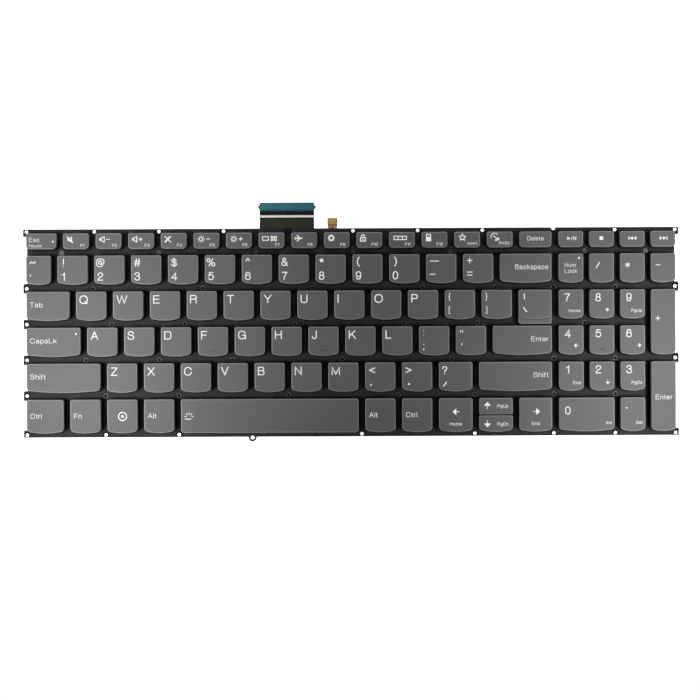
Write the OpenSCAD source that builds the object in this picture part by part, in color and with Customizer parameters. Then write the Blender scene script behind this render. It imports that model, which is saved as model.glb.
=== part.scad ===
// Laptop replacement keyboard with a number pad: low keycaps on scissor links and rubber
// domes, over a three-layer membrane, a steel support plate and an edge-lit backlight.
// Two flat tails leave at the top edge. Millimetres. X runs along the rows, Y towards the
// function row and Z out of the keys. The origin is the centre of the back face.

/* [Key field] */
// Pitch of the letter columns
key_pitch = 19; // [18.4:0.05:20]
// Space between two keycaps of a row
key_gap = 3.4; // [2.8:0.1:3.8]
// Pitch of the letter rows
row_pitch = 18.57; // [18:0.01:20]
// Space between two rows of keycaps
row_gap = 3.47; // [2.8:0.01:3.8]
// Depth of the function keys
fn_depth = 8.15; // [8:0.05:10]
// Space between two function keys
fn_gap = 3.5; // [2.8:0.1:3.8]
// Space between the function row and the number row
fn_row_gap = 3.3; // [3:0.1:5]
// How much deeper the bottom row is than the letter rows
bottom_extra = 2.3; // [1.8:0.1:4]
// Space between the up key and the down key
split_gap = 0.6; // [0.4:0.1:0.8]
// Space between the main block and the number pad
pad_offset = 3.6; // [3:0.1:8]
// Space between two columns of the number pad
pad_gap = 3.09; // [2.6:0.01:4]

/* [Key widths] */
// Width of the key left of the digit 1
grave_w = 12.75; // [12.7:0.05:16]
// Width of the backspace key
backspace_w = 26.65; // [26:0.05:34]
// Width of the tab key
tab_w = 22.3; // [18:0.1:24]
// Width of the caps lock key
caps_w = 27.95; // [26:0.05:30]
// Width of the left shift key
shift_w = 38.1; // [32:0.1:42]
// Width of the left control key
ctrl_w = 19.1; // [15:0.1:24]
// Width of the slash, left, up and down keys
arrow_w = 17.3; // [15:0.1:19]
// Width of the right key
right_w = 16.9; // [15:0.1:19]
// Width of the delete key
delete_w = 16.5; // [13:0.1:20]
// Width of a number pad key
pad_w = 12.75; // [12.7:0.05:16]

/* [Keycaps] */
// Height of a keycap from its skirt to its top
cap_h = 2.3; // [2:0.05:3]
// Thickness of a keycap's top wall
cap_roof = 0.9; // [0.6:0.05:1.1]
// Thickness of a keycap's side walls
cap_wall = 0.8; // [0.6:0.05:0.9]
// How far a keycap travels
travel = 1.5; // [1.2:0.1:1.6]
// Room left under a skirt when its key is fully down
travel_spare = 0.5; // [0.4:0.05:1]
// How far the curved lower edge bows out at its middle
smile = 1.15; // [0.6:0.05:1.4]
// Radius of the lower corners
corner_low_r = 2; // [1:0.1:2.6]
// Radius of the upper corners
corner_top_r = 1; // [0.4:0.1:1.4]
// Radius of the corners at the foot of the backslash key
corner_foot_r = 1.1; // [0.4:0.1:1.6]
// Radius of the corners where the up key and the down key face each other
corner_split_r = 0.5; // [0.3:0.1:1]
// Depth of the step at the foot of the backslash key
ledge_d = 2.5; // [1:0.1:2.8]
// How much lower that step is than the key's top
ledge_drop = 0.6; // [0.3:0.1:0.8]
// Length of the homing bars on three keys
homing_l = 3; // [2:0.1:5]
// Width of a homing bar
homing_w = 0.5; // [0.3:0.05:0.8]
// Height of a homing bar
homing_h = 0.15; // [0.1:0.05:0.3]
// Distance of a homing bar from its key's lower edge
homing_in = 2.6; // [2:0.1:4]

/* [Scissor links] */
// Length of a link between its two end bearings
link_len = 8.4; // [8:0.1:8.8]
// Width of the outer frame
link_w = 10.4; // [9.6:0.1:10.8]
// Width of the outer frame under the shallow keys
link_w_small = 5.2; // [5:0.1:5.4]
// Width of a frame's bars
link_bar = 1.1; // [0.8:0.05:1.2]
// Width of a frame's bars under the shallow keys
link_bar_small = 0.6; // [0.5:0.05:0.7]
// Thickness of a frame
link_t = 0.7; // [0.6:0.05:0.8]
// How far a frame's round end bars stand out of its two faces
link_lip = 0.03; // [0.02:0.01:0.05]
// Gap between the outer and the inner frame
link_gap = 0.15; // [0.1:0.01:0.2]
// Height of the lower bearing above the membrane
bearing_up = 0.5; // [0.46:0.01:0.6]
// Radius of the pin that joins two frames
pin_r = 0.2; // [0.15:0.01:0.22]
// Running clearance around a pin
pin_clear = 0.03; // [0.02:0.01:0.05]
// Clearance between a link's end and its post
post_clear = 0.12; // [0.1:0.01:0.2]
// Thickness of a post
post_t = 0.45; // [0.3:0.05:0.5]
// Width of a post on the plate
post_w = 2.4; // [1.6:0.1:3]
// Height of a post above the lower bearing
post_up = 0.6; // [0.4:0.05:0.7]
// Width of a post under a keycap
clip_w = 1.2; // [0.8:0.1:1.6]
// How far a keycap's post hangs below its top wall
clip_h = 1.1; // [0.8:0.05:1.2]
// Distance of a keycap's post from the middle of its link
clip_x = 3.2; // [3:0.1:3.6]

/* [Stabilizers] */
// A key wider than this has a wire
wire_from_w = 25; // [24:0.5:26]
// Radius of a wire
wire_r = 0.3; // [0.25:0.01:0.32]
// Radius of a wire's two arms
arm_r = 0.26; // [0.22:0.01:0.28]
// Length of an arm from its bearing to the long bar
arm_len = 9; // [8.6:0.1:9.2]
// Distance of the long bar in front of the middle of the link
bar_out = 5.5; // [5.45:0.01:5.55]
// Distance of an arm from the keycap's side wall
arm_in = 1.2; // [1:0.1:2]
// Length of the turned-in foot of an arm
foot_l = 2.4; // [2.2:0.1:3]
// Thickness of the plate's hook around a foot
hook_t = 0.6; // [0.4:0.05:0.8]
// Width of a hook
hook_w = 1.8; // [1.6:0.1:2.2]
// Height of a hook above its bore's middle
hook_up = 0.75; // [0.6:0.05:0.8]
// Clearance of a foot in its hook
hook_clear = 0.05; // [0.03:0.01:0.08]

/* [Domes] */
// Radius of a dome's foot
dome_r = 2.6; // [2.2:0.1:2.7]
// Radius of a dome's foot under the shallow keys
dome_r_small = 1.2; // [1.1:0.05:1.25]
// Share of its foot's radius that a dome has at its top
dome_taper = 0.55; // [0.5:0.05:0.7]
// Wall of a dome
dome_wall = 0.5; // [0.4:0.05:0.6]
// Height of a dome's foot ring
dome_foot = 0.3; // [0.2:0.05:0.4]
// Gap between a dome and its keycap
dome_clear = 0.05; // [0.03:0.01:0.1]

/* [Plate] */
// Thickness of the support plate
plate_t = 0.4; // [0.3:0.05:0.6]
// How far the plate reaches past the keys at each side
plate_side = 0.8; // [0.5:0.05:3]
// How far the plate reaches past the keys at top and bottom
plate_edge = 2.5; // [2.3:0.05:5]
// Radius of the fixing holes
hole_r = 1.05; // [0.8:0.05:1.2]
// Distance of the fixing holes from the top and bottom edges
hole_in = 1.3; // [1.3:0.05:1.6]
// Distance of the ears' holes outside the plate's side edge
ear_hole_out = 0.3; // [0.1:0.05:1]
// How far an ear reaches past the middle of its hole
ear_out = 1.7; // [1.4:0.05:2.5]
// Height of an ear
ear_h = 5; // [4.4:0.1:5.6]
// Width of the slit under an ear's hole
slit_w = 1.7; // [1:0.1:2]
// Height of that slit
slit_h = 0.3; // [0.2:0.05:0.5]
// Distance of that slit from the middle of the hole
slit_down = 1.75; // [1.5:0.05:2]
// Place of the round tab along the bottom edge
tab_x = -51.4; // [-60:0.1:-40]
// Distance of the tab's hole below the plate's edge
tab_out = 0.4; // [0.2:0.1:1]
// Radius of the tab
tab_r = 2; // [1.8:0.1:2.6]
// Distance of the notch at the number pad's start from the top edge
notch_in = 0.4; // [0.2:0.1:0.8]
// Width of the light window under a key
window_w = 5; // [3:0.1:6]
// Depth of the light window under a key
window_d = 3; // [1.5:0.1:3.4]
// Radius of a stud's head
stud_r = 1.4; // [1:0.05:1.5]
// Height of a stud's head
stud_h = 0.5; // [0.4:0.05:0.8]
// Radius of a stud's shank
shank_r = 0.8; // [0.5:0.05:0.9]
// Clearance of a shank in the plate
shank_clear = 0.03; // [0.02:0.01:0.1]

/* [Membrane] */
// Thickness of each of the three sheets
sheet_t = 0.1; // [0.08:0.01:0.15]
// How far the membrane stays inside the plate's edge
sheet_in = 0.6; // [0.4:0.05:1]
// Radius of the openings around holes and studs
sheet_hole_r = 1.9; // [1.6:0.05:2]
// Clearance around the posts and hooks that pass through
sheet_clear = 0.2; // [0.1:0.05:0.3]
// Width of the ribbon tail
ribbon_w = 28.3; // [20:0.1:29]
// Middle of the ribbon tail along the top edge
ribbon_x = -33.1; // [-34:0.1:-32]
// How far the ribbon tail reaches past the plate
ribbon_out = 13.5; // [10:0.1:40]
// How much narrower the ribbon is where it passes through the plate
ribbon_neck = 2; // [1.6:0.1:4]
// Gap between the ribbon and the plate above it
ribbon_gap = 0.05; // [0.03:0.01:0.1]
// Clearance of the ribbon in its slot
slot_clear = 0.3; // [0.2:0.05:0.4]
// Length of the stiffener
stiff_l = 4.7; // [3:0.1:8]
// Thickness of the stiffener
stiff_t = 0.2; // [0.15:0.05:0.3]
// How far the stiffener's ears stick out
stiff_ear = 1.2; // [0.6:0.1:2]
// Width of those ears at their root
stiff_ear_l = 2.4; // [1.6:0.1:3]

/* [Backlight] */
// Thickness of the reflector film
reflector_t = 0.1; // [0.08:0.01:0.15]
// Thickness of the light guide
guide_t = 0.3; // [0.25:0.05:0.5]
// Thickness of the mask film
mask_t = 0.1; // [0.08:0.01:0.15]
// How far the films stay inside the fixing holes
film_in = 0.85; // [0.4:0.05:2]
// Depth of the light strip beyond the guide's edge
strip_d = 2.6; // [2:0.1:4]
// Thickness of the light strip and its tail
strip_t = 0.1; // [0.08:0.01:0.1]
// Middle of the light strip's tail along the top edge
strip_tail_x = -9.45; // [-11:0.05:-8]
// Width of the contact head on that tail
contact_w = 5.1; // [3:0.1:5.6]
// Length of the contact head
contact_l = 3.7; // [2:0.1:5]
// How far that tail reaches past the plate
strip_out = 5.5; // [4:0.1:9]
// Width of the tail's neck
neck_w = 3.2; // [1.5:0.1:4]
// How many light chips the strip carries
led_count = 6; // [3:1:7]
// Length of a light chip
led_l = 3; // [2:0.1:3.6]
// Depth of a light chip
led_d = 0.5; // [0.4:0.05:0.6]
// Height of a light chip
led_h = 0.25; // [0.2:0.01:0.3]
// Clearance between the strip and the films
strip_clear = 0.2; // [0.1:0.05:0.4]

/* [Hidden] */
$fn = 48;
ARC_STEPS = 3;
SMILE_STEPS = 8;
EPS = 0.01;

// Levels above the back face
guide_z = reflector_t;
mask_z = guide_z + guide_t;
plate_z = mask_z + mask_t;
lower_z = plate_z + plate_t;
spacer_z = lower_z + sheet_t;
upper_z = spacer_z + sheet_t;
deck_z = upper_z + sheet_t;
skirt_z = deck_z + travel_spare + travel;
top_z = skirt_z + cap_h;
roof_z = top_z - cap_roof;
bearing_z = deck_z + bearing_up;
rise = roof_z - bearing_up - bearing_z;
link_angle = asin(rise / link_len);
low_angle = asin((rise - travel) / link_len);
arm_angle = asin(rise / arm_len);
arm_reach = arm_len * cos(arm_angle);
link_reach = link_len / 2 * cos(link_angle);
link_slide = link_len * (cos(low_angle) - cos(link_angle));
link_end_r = link_t / 2 + link_lip;
post_fixed = link_reach + link_end_r + post_clear;
post_slide = post_fixed + link_slide;

// Key field
std_w = key_pitch - key_gap;
std_d = row_pitch - row_gap;
bottom_d = std_d + bottom_extra;
main_w = grave_w + key_gap + 12 * key_pitch + backspace_w;
fn_w = (main_w - std_w - delete_w - 15 * fn_gap) / 14;
pad_span = 4 * pad_w + 3 * pad_gap;
field_w = main_w + pad_offset + pad_span;
field_h = fn_depth + fn_row_gap + 4 * row_pitch + bottom_d;
field_x = -field_w / 2;
pad_x = field_x + main_w + pad_offset;
split_d = (bottom_d - split_gap) / 2;

function total(v, n) = n <= 0 ? 0 : v[n - 1] + total(v, n - 1);
function repeat(v, n) = [for (i = [1:n]) v];
function has(list, v) = len([for (m = list) if (m == v) m]) > 0;
function join(lists) = [for (part = lists) for (v = part) v];

// Top edge of row 0, the function row, to row 5, the bottom row
function row_top(r) =
    field_h / 2 - (r == 0 ? 0 : fn_depth + fn_row_gap + (r - 1) * row_pitch);

// Middle of the space above row r
function gap_y(r) = row_top(r) + (r == 1 ? fn_row_gap : row_gap) / 2;

// Widths of a row of the main block, where the key of width 0 takes what is left
function filled(widths, gap) =
    let (rest = main_w - total(widths, len(widths)) - gap * (len(widths) - 1))
    [for (w = widths) w == 0 ? rest : w];

// A run of keys from x along one row, each [name, group, x, y, width, depth, form]
function run(names, group, widths, gap, x, top, depth, form) =
    [for (i = [0:len(names) - 1])
        [names[i], group, x + total(widths, i) + i * gap + widths[i] / 2, top - depth / 2,
            widths[i], depth, form]];

function main_run(names, widths, r, depth = std_d) =
    run(names, "main", filled(widths, key_gap), key_gap, field_x, row_top(r), depth, "smile");

function pad_run(names, r, widths = repeat(pad_w, 4), depth = std_d, group = "pad") =
    run(names, group, widths, pad_gap, pad_x, row_top(r), depth, r == 0 ? "straight" : "smile");

function pad_tall(name, r, depth) =
    run([name], "pad", [pad_w], pad_gap, pad_x + 3 * (pad_w + pad_gap), row_top(r), depth,
        "smile");

DIGITS = ["1", "2", "3", "4", "5", "6", "7", "8", "9", "0"];
ROW_Q = ["q", "w", "e", "r", "t", "y", "u", "i", "o", "p"];
ROW_A = ["a", "s", "d", "f", "g", "h", "j", "k", "l"];
ROW_Z = ["z", "x", "c", "v", "b", "n", "m"];
FN_KEYS = concat(["esc"], [for (i = [1:12]) str("f", i)], ["insert", "print", "delete"]);

// Keys whose shape isn't the plain one of their row are changed after the rows are laid out
function shaped(k) =
    k[0] == "space" ? [k[0], k[1], k[2], k[3], k[4], k[5], "straight"]
    : k[0] == "up" ? [k[0], k[1], k[2], k[3] + (k[5] - split_d) / 2, k[4], split_d, "upper"]
    : k[0] == "backslash"
        ? [k[0], k[1], k[2], k[3] - ledge_d / 2, k[4], k[5] + ledge_d, "ledge"]
    : k;

LAID = join([
    run(FN_KEYS, "fn", concat([std_w], repeat(fn_w, 14), [delete_w]), fn_gap, field_x,
        row_top(0), fn_depth, "straight"),
    pad_run(["play", "stop", "previous", "next"], 0, depth = fn_depth, group = "fn"),
    main_run(concat(["grave"], DIGITS, ["minus", "equals", "backspace"]),
        concat([grave_w], repeat(std_w, 12), [0]), 1),
    pad_run(["num_lock", "divide", "times", "subtract"], 1),
    main_run(concat(["tab"], ROW_Q, ["left_bracket", "right_bracket", "backslash"]),
        concat([tab_w], repeat(std_w, 12), [0]), 2),
    pad_run(["pad_7", "pad_8", "pad_9"], 2),
    pad_tall("pad_add", 2, std_d + row_pitch),
    main_run(concat(["caps_lock"], ROW_A, ["semicolon", "quote", "enter"]),
        concat([caps_w], repeat(std_w, 11), [0]), 3),
    pad_run(["pad_4", "pad_5", "pad_6"], 3),
    main_run(concat(["left_shift"], ROW_Z, ["comma", "period", "slash", "right_shift"]),
        concat([shift_w], repeat(std_w, 9), [arrow_w, 0]), 4),
    pad_run(["pad_1", "pad_2", "pad_3"], 4),
    pad_tall("pad_enter", 4, bottom_d + row_pitch),
    main_run(["left_ctrl", "fn", "menu", "left_alt", "space", "right_alt", "right_ctrl",
        "left", "up", "right"],
        concat([ctrl_w], repeat(std_w, 3), [0, std_w, std_w, arrow_w, arrow_w, right_w]), 5,
        bottom_d),
    pad_run(["pad_0", "pad_point"], 5, [2 * pad_w + pad_gap, pad_w], bottom_d)
]);
SLOT = [for (k = LAID) if (k[0] == "up") k][0];
DOWN = ["down", "main", SLOT[2], SLOT[3] - (bottom_d - split_d) / 2, SLOT[4], split_d, "lower"];
KEYS = concat([for (k = LAID) shaped(k)], [DOWN]);

// Each of these keys is a node of its own. The others share three nodes.
MOVING = concat(ROW_Q, ROW_A, ROW_Z, DIGITS, ["enter", "space"]);
HOMING = ["f", "j", "pad_5"];
LIT = ["esc", "caps_lock", "num_lock"];

function key(name) = [for (k = KEYS) if (k[0] == name) k][0];
function group(name) = [for (k = KEYS) if (k[1] == name && !has(MOVING, k[0])) k];

// The place between a key and the next one in its row
function after(name) =
    let (i = [for (n = [0:len(LAID) - 1]) if (LAID[n][0] == name) n][0],
        a = LAID[i], b = LAID[i + 1])
    (a[2] + a[4] / 2 + b[2] - b[4] / 2) / 2;

function is_shallow(k) = k[5] < std_d - smile;
function is_wired(k) = k[4] > wire_from_w && !is_shallow(k);
function is_curved(form) = form == "smile" || form == "lower";
function low_cut(k) = is_curved(k[6]) ? smile : k[6] == "ledge" ? ledge_d + smile : 0;

// Middles of a key's scissor links: two on the space bar and on the tall pad keys
function link_spots(k) =
    let (y = k[3] + low_cut(k) / 2)
    k[0] == "space" ? [for (s = [-1, 1]) [k[2] + s * k[4] / 4, y]]
    : k[5] > row_pitch + std_d / 2 ? [for (s = [-1, 1]) [k[2], y + s * k[5] / 4]]
    : [[k[2], y]];

// Plate
plate_w = field_w + 2 * plate_side;
plate_h = field_h + 2 * plate_edge;
edge_y = plate_h / 2 - hole_in;
ear_x = plate_w / 2 + ear_hole_out;
EAR_GAPS = [[for (r = [2:5]) gap_y(r)], [gap_y(2), gap_y(4)]];
EAR_SPOTS = [for (side = [0, 1]) for (y = concat([edge_y, -edge_y], EAR_GAPS[side]))
    [(2 * side - 1) * ear_x, y]];
TOP_SPOTS = [for (n = ["f1", "f3", "f5", "f7", "f9", "f11", "insert", "stop"])
    [after(n), edge_y]];
NOTCH_SPOT = [after("delete"), plate_h / 2 - notch_in];
BOTTOM_SPOTS = [for (n = ["fn", "left_alt", "space", "left", "right", "pad_0"])
    [after(n), -edge_y]];
TAB_SPOT = [tab_x, -plate_h / 2 - tab_out];
ROW_HOLES = [
    [2, ["1", "4", "7", "0", "equals", "backspace", "divide"]],
    [3, ["q", "e", "y", "o", "left_bracket", "pad_7"]],
    [4, ["caps_lock", "s", "f", "j", "semicolon", "enter", "pad_5"]],
    [5, ["left_shift", "x", "b", "comma", "slash", "right_shift", "pad_2"]]
];
INNER_SPOTS = [for (row = ROW_HOLES) for (n = row[1]) [after(n), gap_y(row[0])]];
STUD_SPOTS = [for (n = ["esc", "f3", "f6", "f9", "f12", "play", "previous"])
    [after(n), gap_y(1)]];
HOLE_SPOTS = concat(EAR_SPOTS, TOP_SPOTS, [NOTCH_SPOT], BOTTOM_SPOTS, [TAB_SPOT],
    INNER_SPOTS);

// Tails
ribbon_y = plate_h / 2 + ribbon_out;
ribbon_z = plate_z - ribbon_gap - sheet_t;
slot_y = gap_y(1);
film_edge_y = slot_y - slot_clear - strip_clear - led_d;
film_w = 2 * (ear_x - hole_r - film_in);
film_h = 2 * (edge_y - hole_r - film_in);
bay_x0 = ribbon_x - ribbon_w / 2 - strip_clear;
bay_x1 = strip_tail_x + contact_w / 2 + strip_clear;
strip_x0 = bay_x0 + strip_clear;
strip_x1 = bay_x1 - strip_clear;

// Keycap outlines

// Points of an arc, both ends included
function arc(x, y, r, from, to, steps) =
    [for (i = [0:steps]) let (a = from + (to - from) * i / steps) [x + r * cos(a), y + r * sin(a)]];

// The upper corners and the straight sides above them
function top_points(w, d, r) =
    concat(arc(r - w / 2, d / 2 - r, r, 180, 90, ARC_STEPS),
        arc(w / 2 - r, d / 2 - r, r, 90, 0, ARC_STEPS));

// A lower edge that is one shallow arc, blended into the sides by an arc tangent to both
function smile_points(w, d) =
    let (big = (w * w / 4 + smile * smile) / (2 * smile),
        mid = big - d / 2,
        side = w / 2 - corner_low_r,
        tilt = asin(side / (big - corner_low_r)),
        y = mid - (big - corner_low_r) * cos(tilt),
        bow = arc(0, mid, big, tilt - 90, -tilt - 90, SMILE_STEPS))
    concat(arc(side, y, corner_low_r, 0, tilt - 90, ARC_STEPS),
        [for (i = [1:SMILE_STEPS - 1]) bow[i]],
        arc(-side, y, corner_low_r, -tilt - 90, -180, ARC_STEPS));

function flat_points(w, d, r) =
    concat(arc(w / 2 - r, r - d / 2, r, 0, -90, ARC_STEPS),
        arc(r - w / 2, r - d / 2, r, -90, -180, ARC_STEPS));

// Forms: smile, straight, ledge, and upper or lower for the two halves of a split key
function top_r(form) = form == "lower" ? corner_split_r : corner_top_r;
function foot_r(form) =
    form == "upper" ? corner_split_r : form == "ledge" ? corner_foot_r : corner_low_r;

module outline(w, d, form) {
    polygon(concat(top_points(w, d, top_r(form)),
        is_curved(form) ? smile_points(w, d) : flat_points(w, d, foot_r(form))));
}

// Keycap pieces

// The posts under the top wall that hold a link's upper ends
module cap_clips(k) {
    for (spot = link_spots(k))
        translate([spot[0], spot[1], roof_z - clip_h])
            rotate(is_shallow(k) ? 90 : 0) {
                span = is_shallow(k) ? clip_x / 2 : clip_x;
                translate([span - clip_w / 2, -post_fixed - post_t, 0])
                    cube([clip_w, post_t, clip_h + EPS]);
                translate([-span - clip_w / 2, post_slide, 0])
                    cube([clip_w, post_t, clip_h + EPS]);
            }
}

module cap_shell(k) {
    cut = low_cut(k);
    difference() {
        union() {
            if (k[6] == "ledge") {
                translate([k[2], k[3], skirt_z])
                    linear_extrude(cap_h - ledge_drop) outline(k[4], k[5], "ledge");
                translate([k[2], k[3] + ledge_d / 2, skirt_z])
                    linear_extrude(cap_h) outline(k[4], k[5] - ledge_d, "smile");
            } else {
                translate([k[2], k[3], skirt_z])
                    linear_extrude(cap_h) outline(k[4], k[5], k[6]);
            }
        }
        translate([k[2] - k[4] / 2 + cap_wall, k[3] - k[5] / 2 + cut + cap_wall, skirt_z - 1])
            cube([k[4] - 2 * cap_wall, k[5] - cut - 2 * cap_wall, cap_h - cap_roof + 1]);
    }
}

module homing_bar(k) {
    translate([k[2] - homing_l / 2, k[3] - k[5] / 2 + homing_in, top_z - EPS])
        cube([homing_l, homing_w, homing_h + EPS]);
}

module keycap(k) {
    color("dimgray") union() {
        cap_shell(k);
        cap_clips(k);
        if (has(HOMING, k[0])) homing_bar(k);
    }
}

module keycaps(keys) {
    for (k = keys) keycap(k);
}

// Scissor links and domes

// A flat frame with a round bar at each end, which turns between its posts
module link_frame(w, bar) {
    linear_extrude(link_t, center = true) difference() {
        square([w, link_len], center = true);
        square([w - 2 * bar, link_len + link_t - 2 * bar], center = true);
    }
    for (s = [-1, 1]) translate([0, s * link_len / 2, 0])
        rotate([0, 90, 0]) cylinder(r = link_end_r, h = w, center = true);
}

// Carries a frame to its key's links, sloping up towards the far side or the near side
module at_links(k, slope) {
    for (spot = link_spots(k))
        translate([spot[0], spot[1], bearing_z + rise / 2])
            rotate(is_shallow(k) ? 90 : 0)
                rotate([slope, 0, 0]) children();
}

module outer_frame(k) {
    w = is_shallow(k) ? link_w_small : link_w;
    bar = is_shallow(k) ? link_bar_small : link_bar;
    color("gainsboro") at_links(k, link_angle) difference() {
        link_frame(w, bar);
        rotate([0, 90, 0]) cylinder(r = pin_r + pin_clear, h = w + 1, center = true);
    }
}

module inner_frame(k) {
    bar = is_shallow(k) ? link_bar_small : link_bar;
    w = (is_shallow(k) ? link_w_small : link_w) - 2 * (bar + link_gap);
    pin_l = bar / 2 + link_gap + bar * 0.8;
    color("whitesmoke") at_links(k, -link_angle) union() {
        link_frame(w, bar);
        for (s = [-1, 1])
            translate([s * (w / 2 - bar / 2 + pin_l / 2), 0, 0])
                rotate([0, 90, 0]) cylinder(r = pin_r, h = pin_l, center = true);
    }
}

module dome(k) {
    r = is_shallow(k) ? dome_r_small : dome_r;
    h = roof_z - dome_clear - deck_z;
    tip = r * dome_taper;
    color("lightgray") translate([k[2], k[3] + low_cut(k) / 2, deck_z]) rotate_extrude()
        polygon([[r - dome_wall, 0], [r, 0], [r, dome_foot], [tip, h - dome_wall], [tip, h],
            [0, h], [0, h - dome_wall], [tip - dome_wall / 2, h - dome_wall],
            [r - dome_wall, dome_foot]]);
}

// The bent wire that keeps a wide key level
module wire(k) {
    x = k[4] / 2 - cap_wall - arm_in;
    color("silver") union() {
        translate([k[2], hook_y(k) - arm_reach, bearing_z + rise])
            rotate([0, 90, 0]) cylinder(r = wire_r, h = 2 * (x + wire_r), center = true);
        for (s = [-1, 1]) {
            translate([k[2] + s * x, hook_y(k), bearing_z])
                rotate([90 - arm_angle, 0, 0]) cylinder(r = arm_r, h = arm_len);
            translate([k[2] + s * (x + wire_r - foot_l / 2), hook_y(k), bearing_z])
                rotate([0, 90, 0]) cylinder(r = wire_r, h = foot_l, center = true);
        }
    }
}

// Plate and sheets

module spots(list, r) {
    for (p = list) translate(p) circle(r);
}

// Footprints of the posts that hold a link's lower ends, grown by a clearance
module post_prints(grow) {
    for (k = KEYS) for (spot = link_spots(k))
        translate(spot) rotate(is_shallow(k) ? 90 : 0)
            for (y = [-post_fixed - post_t / 2, post_slide + post_t / 2])
                translate([0, y])
                    square([post_prints_w(k) + 2 * grow, post_t + 2 * grow], center = true);
}

function post_prints_w(k) = is_shallow(k) ? post_w / 2 : post_w;

// Footprints of the hooks that hold a wire's feet, grown by a clearance
module hook_prints(grow) {
    for (k = KEYS) if (is_wired(k)) for (s = [-1, 1])
        translate([k[2] + s * hook_x(k), hook_y(k)])
            square([hook_t + 2 * grow, hook_w + 2 * grow], center = true);
}

function hook_x(k) = k[4] / 2 - cap_wall - arm_in + wire_r - foot_l + hook_t;
function hook_y(k) = link_spots(k)[0][1] - bar_out + arm_reach;

module plate_outline() {
    square([plate_w, plate_h], center = true);
    for (p = EAR_SPOTS) {
        low = max(p[1] - ear_h / 2, -plate_h / 2);
        high = min(p[1] + ear_h / 2, plate_h / 2);
        x = sign(p[0]) * (ear_x + ear_out) / 2;
        translate([x, (low + high) / 2]) square([ear_x + ear_out, high - low], center = true);
    }
    translate(TAB_SPOT) circle(tab_r);
}

module support_plate() {
    color([0.13, 0.13, 0.14]) union() {
        translate([0, 0, plate_z]) linear_extrude(plate_t) difference() {
            plate_outline();
            spots(HOLE_SPOTS, hole_r);
            spots(STUD_SPOTS, shank_r + shank_clear);
            for (p = EAR_SPOTS) if (abs(p[1]) < edge_y)
                translate([p[0], p[1] - slit_down]) square([slit_w, slit_h], center = true);
            for (k = KEYS) translate([k[2], k[3] + low_cut(k) / 2])
                square([window_w, is_shallow(k) ? window_d / 2 : window_d], center = true);
            translate([ribbon_x, slot_y])
                square([ribbon_w - ribbon_neck + 2 * slot_clear, sheet_t + 2 * slot_clear],
                    center = true);
        }
        translate([0, 0, lower_z - EPS]) linear_extrude(bearing_z + post_up - lower_z + EPS)
            post_prints(0);
        difference() {
            translate([0, 0, lower_z - EPS])
                linear_extrude(bearing_z + hook_up - lower_z + EPS) hook_prints(0);
            for (k = KEYS) if (is_wired(k))
                translate([k[2], hook_y(k), bearing_z]) rotate([0, 90, 0])
                    cylinder(r = wire_r + hook_clear, h = k[4], center = true);
        }
    }
}

module sheet_outline() {
    difference() {
        square([plate_w - 2 * sheet_in, plate_h - 2 * sheet_in], center = true);
        spots(concat(HOLE_SPOTS, STUD_SPOTS), sheet_hole_r);
        post_prints(sheet_clear);
        hook_prints(sheet_clear);
    }
}

// The lower sheet goes on as the ribbon tail, down through the plate's slot and out
module membrane_lower() {
    color([0.16, 0.16, 0.15]) union() {
        translate([0, 0, lower_z]) linear_extrude(sheet_t) sheet_outline();
        translate([ribbon_x - (ribbon_w - ribbon_neck) / 2, slot_y - sheet_t / 2, ribbon_z])
            cube([ribbon_w - ribbon_neck, sheet_t, lower_z + sheet_t - ribbon_z]);
        translate([ribbon_x - ribbon_w / 2, slot_y - sheet_t / 2, ribbon_z])
            cube([ribbon_w, ribbon_y - slot_y + sheet_t / 2, sheet_t]);
    }
}

module membrane_spacer() {
    color([0.7, 0.72, 0.72])
        translate([0, 0, spacer_z]) linear_extrude(sheet_t) sheet_outline();
}

module membrane_upper() {
    color([0.1, 0.1, 0.1])
        translate([0, 0, upper_z]) linear_extrude(sheet_t) sheet_outline();
}

module ribbon_stiffener() {
    y = ribbon_y - stiff_l;
    x = ribbon_w / 2;
    color("steelblue") translate([ribbon_x, 0, ribbon_z + sheet_t]) linear_extrude(stiff_t)
        polygon([[-x, y], [x, y],
            [x, y + (stiff_l - stiff_ear_l) / 2], [x + stiff_ear, y + stiff_l / 2],
            [x, y + (stiff_l + stiff_ear_l) / 2], [x, ribbon_y], [-x, ribbon_y],
            [-x, y + (stiff_l + stiff_ear_l) / 2], [-x - stiff_ear, y + stiff_l / 2],
            [-x, y + (stiff_l - stiff_ear_l) / 2]]);
}

module plate_studs() {
    color("gray") for (p = STUD_SPOTS) translate([p[0], p[1], 0]) union() {
        translate([0, 0, lower_z]) cylinder(r = stud_r, h = stud_h);
        translate([0, 0, plate_z]) cylinder(r = shank_r, h = plate_t + EPS);
    }
}

// Backlight

module film_outline() {
    difference() {
        square([film_w, film_h], center = true);
        translate([bay_x0, film_edge_y]) square([bay_x1 - bay_x0, film_h / 2]);
    }
}

module reflector_film() {
    color("white") linear_extrude(reflector_t) film_outline();
}

module light_guide() {
    color([0.85, 0.92, 0.95])
        translate([0, 0, guide_z]) linear_extrude(guide_t) film_outline();
}

module mask_film() {
    color([0.08, 0.08, 0.09])
        translate([0, 0, mask_z]) linear_extrude(mask_t) film_outline();
}

// The strip lies in the bay of the films and goes on as the backlight's own tail
module backlight_strip() {
    strip_y = film_edge_y + strip_clear / 2;
    end_y = plate_h / 2 + strip_out;
    color("goldenrod") linear_extrude(strip_t) union() {
        translate([strip_x0, strip_y]) square([strip_x1 - strip_x0, strip_d]);
        translate([strip_tail_x - neck_w / 2, strip_y])
            square([neck_w, end_y - contact_l / 2 - strip_y]);
        translate([strip_tail_x - contact_w / 2, end_y - contact_l])
            square([contact_w, contact_l]);
    }
}

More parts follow.
